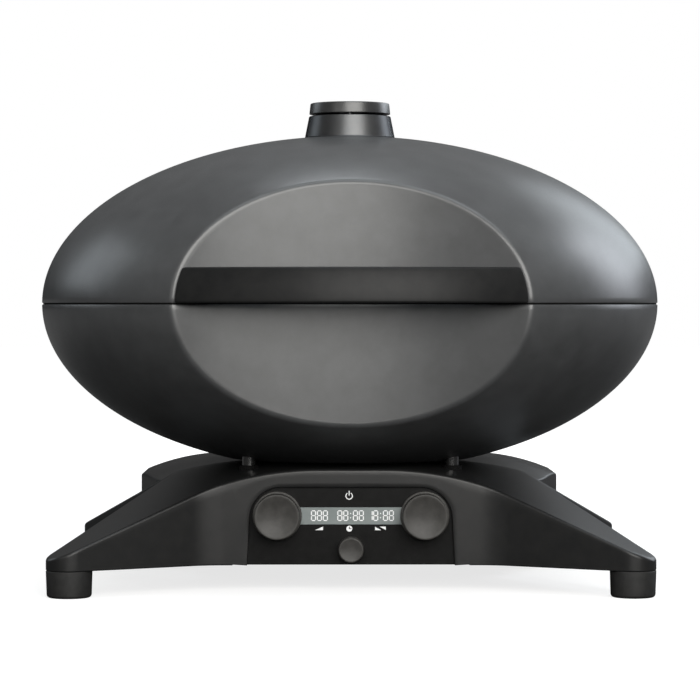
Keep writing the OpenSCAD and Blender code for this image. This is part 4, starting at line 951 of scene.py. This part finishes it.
def stemProfile(s):
    return softPath([(0, s["stemBack"]), (s["stemRadius"], s["stemBack"], s["stemRound"]),
                     (s["stemRadius"], s["stemFront"])])


def onPanel(node, profile, turns):
    # a turned piece that stands on the panel's face, in line with its node
    x, _, z = nodeMiddle(node)
    return patch(facing(lathe(profile, turns), x, panelFace, z), closeCols=True)


for side, body in (("left", "left_dial"), ("right", "right_dial")):
    knob = onPanel(side + "_knob", knobProfile(knobShape), turns=112)
    makePiece(side + "Knob", [knob], "knob", body, [side + "_knob"])
button = onPanel("timer_button", buttonProfile(buttonShape), turns=88)
stem = onPanel("timer_button", stemProfile(buttonShape), turns=40)
makePiece("pushButton", [button, stem], "knob", "push_button", ["timer_button"])
print("stage: knobs made")


# carried-over pieces and their finishes
carried = dict(
    steel=["damper_seat", "damper_pivot", "damper_valve", "handle_screws", "lid_hinge_leaves",
           "lid_hinge_screws", "element_supports", "temperature_sensor", "hinge_brackets", "hinge_pins",
           "bracket_screws", "cover_screws", "peg_bolts", "base_plate", "plate_screws", "foot_screws",
           "board_screws", "left_encoder", "right_encoder", "left_shaft", "right_shaft",
           "power_board_posts", "heat_sink"],
    pan=["drip_pan"],
    iron=["grate_left", "grate_right", "transformer"],
    sheath=["outer_element", "inner_element"],
    rubber=["handle_pads", "wiring_harness"],
    peg=["standing_pegs"],
    base=["terminal_cover", "wiring_conduit", "conduit_nuts", "cord_gland", "gland_nut"],
    dark=["display_module", "board_posts", "button_switch", "relays"],
    board=["control_board", "power_board"],
    ceramic=["terminal_block"],
)
for finish, names in carried.items():
    for name in names:
        nodes[name].data.materials.clear()
        nodes[name].data.materials.append(finishes[finish])
print("stage: carried nodes dressed")


# stage, light and camera; lengths from here on are in metres
# shadowShine, shadowReach and shadowEnd set a painted shadow: in reflections the floor glows less close to
# the object
floorShape = dict(reach=14.0, colour=0.36, bounce=0.04, rough=0.9, nearLift=0.76, nearReach=0.8, farReach=2.6,
                  shine=0.2, shadowShine=0.01, shadowReach=0.5, shadowEnd=1.5)
backdrop = dict(reflected=0.045, overhead=0.36, risesFrom=0.06, risesTo=0.55, leftShare=0.7, rightShare=1.25,
                sideReach=0.4, ambient=0.07)
white = (1, 1, 1, 1)


def rayKinds(tree):
    # two masks: rays from the camera, also through glass, and mirrored rays
    ray = addNode(tree, "LightPath").outputs
    return combine(tree, "MAXIMUM", ray["Is Camera Ray"], ray["Is Transmission Ray"]), ray["Is Glossy Ray"]


def floorMaterial(s):
    # pale matt floor, lifted to white where it is seen; in reflections it is dimmer close to the object, a
    # shadow painted by distance alone
    made = bpy.data.materials.new("studioFloor")
    made.use_nodes = True
    tree = made.node_tree
    shader = tree.nodes["Principled BSDF"]
    shader.inputs["Roughness"].default_value = s["rough"]
    shader.inputs["Specular IOR Level"].default_value = 0.0
    shader.inputs["Emission Color"].default_value = white
    place = addNode(tree, "TexCoord")
    away = addNode(tree, "VectorMath", dict(operation="LENGTH"))
    feed(away.inputs[0], place.outputs["Object"])
    distance = away.outputs["Value"]
    lift = mapped(tree, distance, s["nearLift"], 1, s["nearReach"], s["farReach"])
    # painted shadow: in reflections the floor glows less the closer it is to the object
    mirrored = mapped(tree, distance, s["shadowShine"], s["shine"], s["shadowReach"], s["shadowEnd"])
    direct, glossy = rayKinds(tree)
    feed(shader.inputs["Base Color"], mapped(tree, direct, s["bounce"], s["colour"], 0, 1))
    total = combine(tree, "ADD", combine(tree, "MULTIPLY", direct, lift),
                    combine(tree, "MULTIPLY", glossy, mirrored))
    feed(shader.inputs["Emission Strength"], total)
    return made


def makeFloor(s):
    mesh = bpy.data.meshes.new("floor")
    corners = [(x * s["reach"], y * s["reach"], 0) for x, y in ((-1, -1), (1, -1), (1, 1), (-1, 1))]
    mesh.from_pydata(corners, [], [(0, 1, 2, 3)])
    mesh.materials.append(floorMaterial(s))
    floor = addObject("floor", mesh)


def studioWorld(s):
    # white where it is seen; in reflections a dimmer backdrop, brighter overhead and on the right; else grey
    world = bpy.data.worlds.new("studio")
    world.use_nodes = True
    tree = world.node_tree
    place = addNode(tree, "TexCoord")
    parts = addNode(tree, "SeparateXYZ")
    feed(parts.inputs[0], place.outputs["Generated"])
    rising = mapped(tree, parts.outputs["Z"], s["reflected"], s["overhead"], s["risesFrom"], s["risesTo"])
    side = s["sideReach"]
    across = mapped(tree, parts.outputs["X"], s["leftShare"], s["rightShare"], -side, side)
    mirrored = combine(tree, "MULTIPLY", rising, across)
    direct, glossy = rayKinds(tree)
    plain = combine(tree, "SUBTRACT", 1, combine(tree, "MAXIMUM", direct, glossy))
    total = combine(tree, "ADD", combine(tree, "ADD", direct, combine(tree, "MULTIPLY", glossy, mirrored)),
                    combine(tree, "MULTIPLY", plain, s["ambient"]))
    feed(tree.nodes["Background"].inputs["Strength"], total)
    tree.nodes["Background"].inputs["Color"].default_value = white
    bpy.context.scene.world = world


makeFloor(floorShape)
studioWorld(backdrop)
aimPoint = np.array([0, 0, 0.25])  # the lamps turn to this point
warmLight, skyLight = (1, 0.985, 0.95), (0.9, 0.96, 1)
coolLight, violetLight = (0.86, 0.94, 1), (0.88, 0.92, 1)
softboxes = dict(
    frontBox=dict(place=(0.55, -2.75, 1.12), size=(2.5, 1.7), power=112, tint=warmLight),
    fillBox=dict(place=(-1.7, -2.4, 0.9), size=(1.2, 1.2), power=7, tint=warmLight),
    topBox=dict(place=(0.3, -0.8, 2.3), size=(1.8, 1.4), power=24, tint=skyLight),
    rightBox=dict(place=(1.83, 1.62, 1.44), size=(2.1, 1.36), power=21.5, tint=coolLight),
    sideBox=dict(place=(2.2, 1.0, 1.12), size=(1.15, 1.6), power=19, tint=violetLight),
    leftBox=dict(place=(-2.2, 0.9, 1.2), size=(1.25, 1.2), power=8.5, tint=coolLight),
    crownBox=dict(place=(-0.07, 0.62, 2.2), size=(0.6, 0.5), power=6, tint=skyLight),
    rearBox=dict(place=(0.25, 2.6, 1.3), size=(1.6, 1.0), power=30, tint=warmLight, glossy=False),
)


def softbox(name, place, size, power, tint, glossy=True):
    lamp = bpy.data.lights.new(name, "AREA")
    lamp.shape = "RECTANGLE"
    lamp.size, lamp.size_y = size
    lamp.energy = power
    lamp.color = tint
    holder = addObject(name, lamp)
    holder.location = place
    holder.visible_camera = False
    holder.visible_glossy = glossy
    aim = Vector(tuple(aimPoint - np.array(place)))
    holder.rotation_euler = aim.to_track_quat("-Z", "Y").to_euler()


for name, values in softboxes.items():
    softbox(name, **values)

# yaw and pitch are in degrees, lens and sensor in millimetres
view = dict(place=(-0.018, -2.700, 0.258), lens=146.5, sensor=36, yaw=0.386, pitch=0.931)
eye = bpy.data.cameras.new("camera")
eye.lens = view["lens"]
eye.sensor_width = view["sensor"]
camera = addObject("camera", eye)
camera.location = view["place"]
camera.rotation_euler = (math.radians(90 - view["pitch"]), 0, math.radians(-view["yaw"]))
bpy.context.scene.camera = camera
bpy.context.scene.view_settings.view_transform = "Standard"
print("stage: light and camera set")
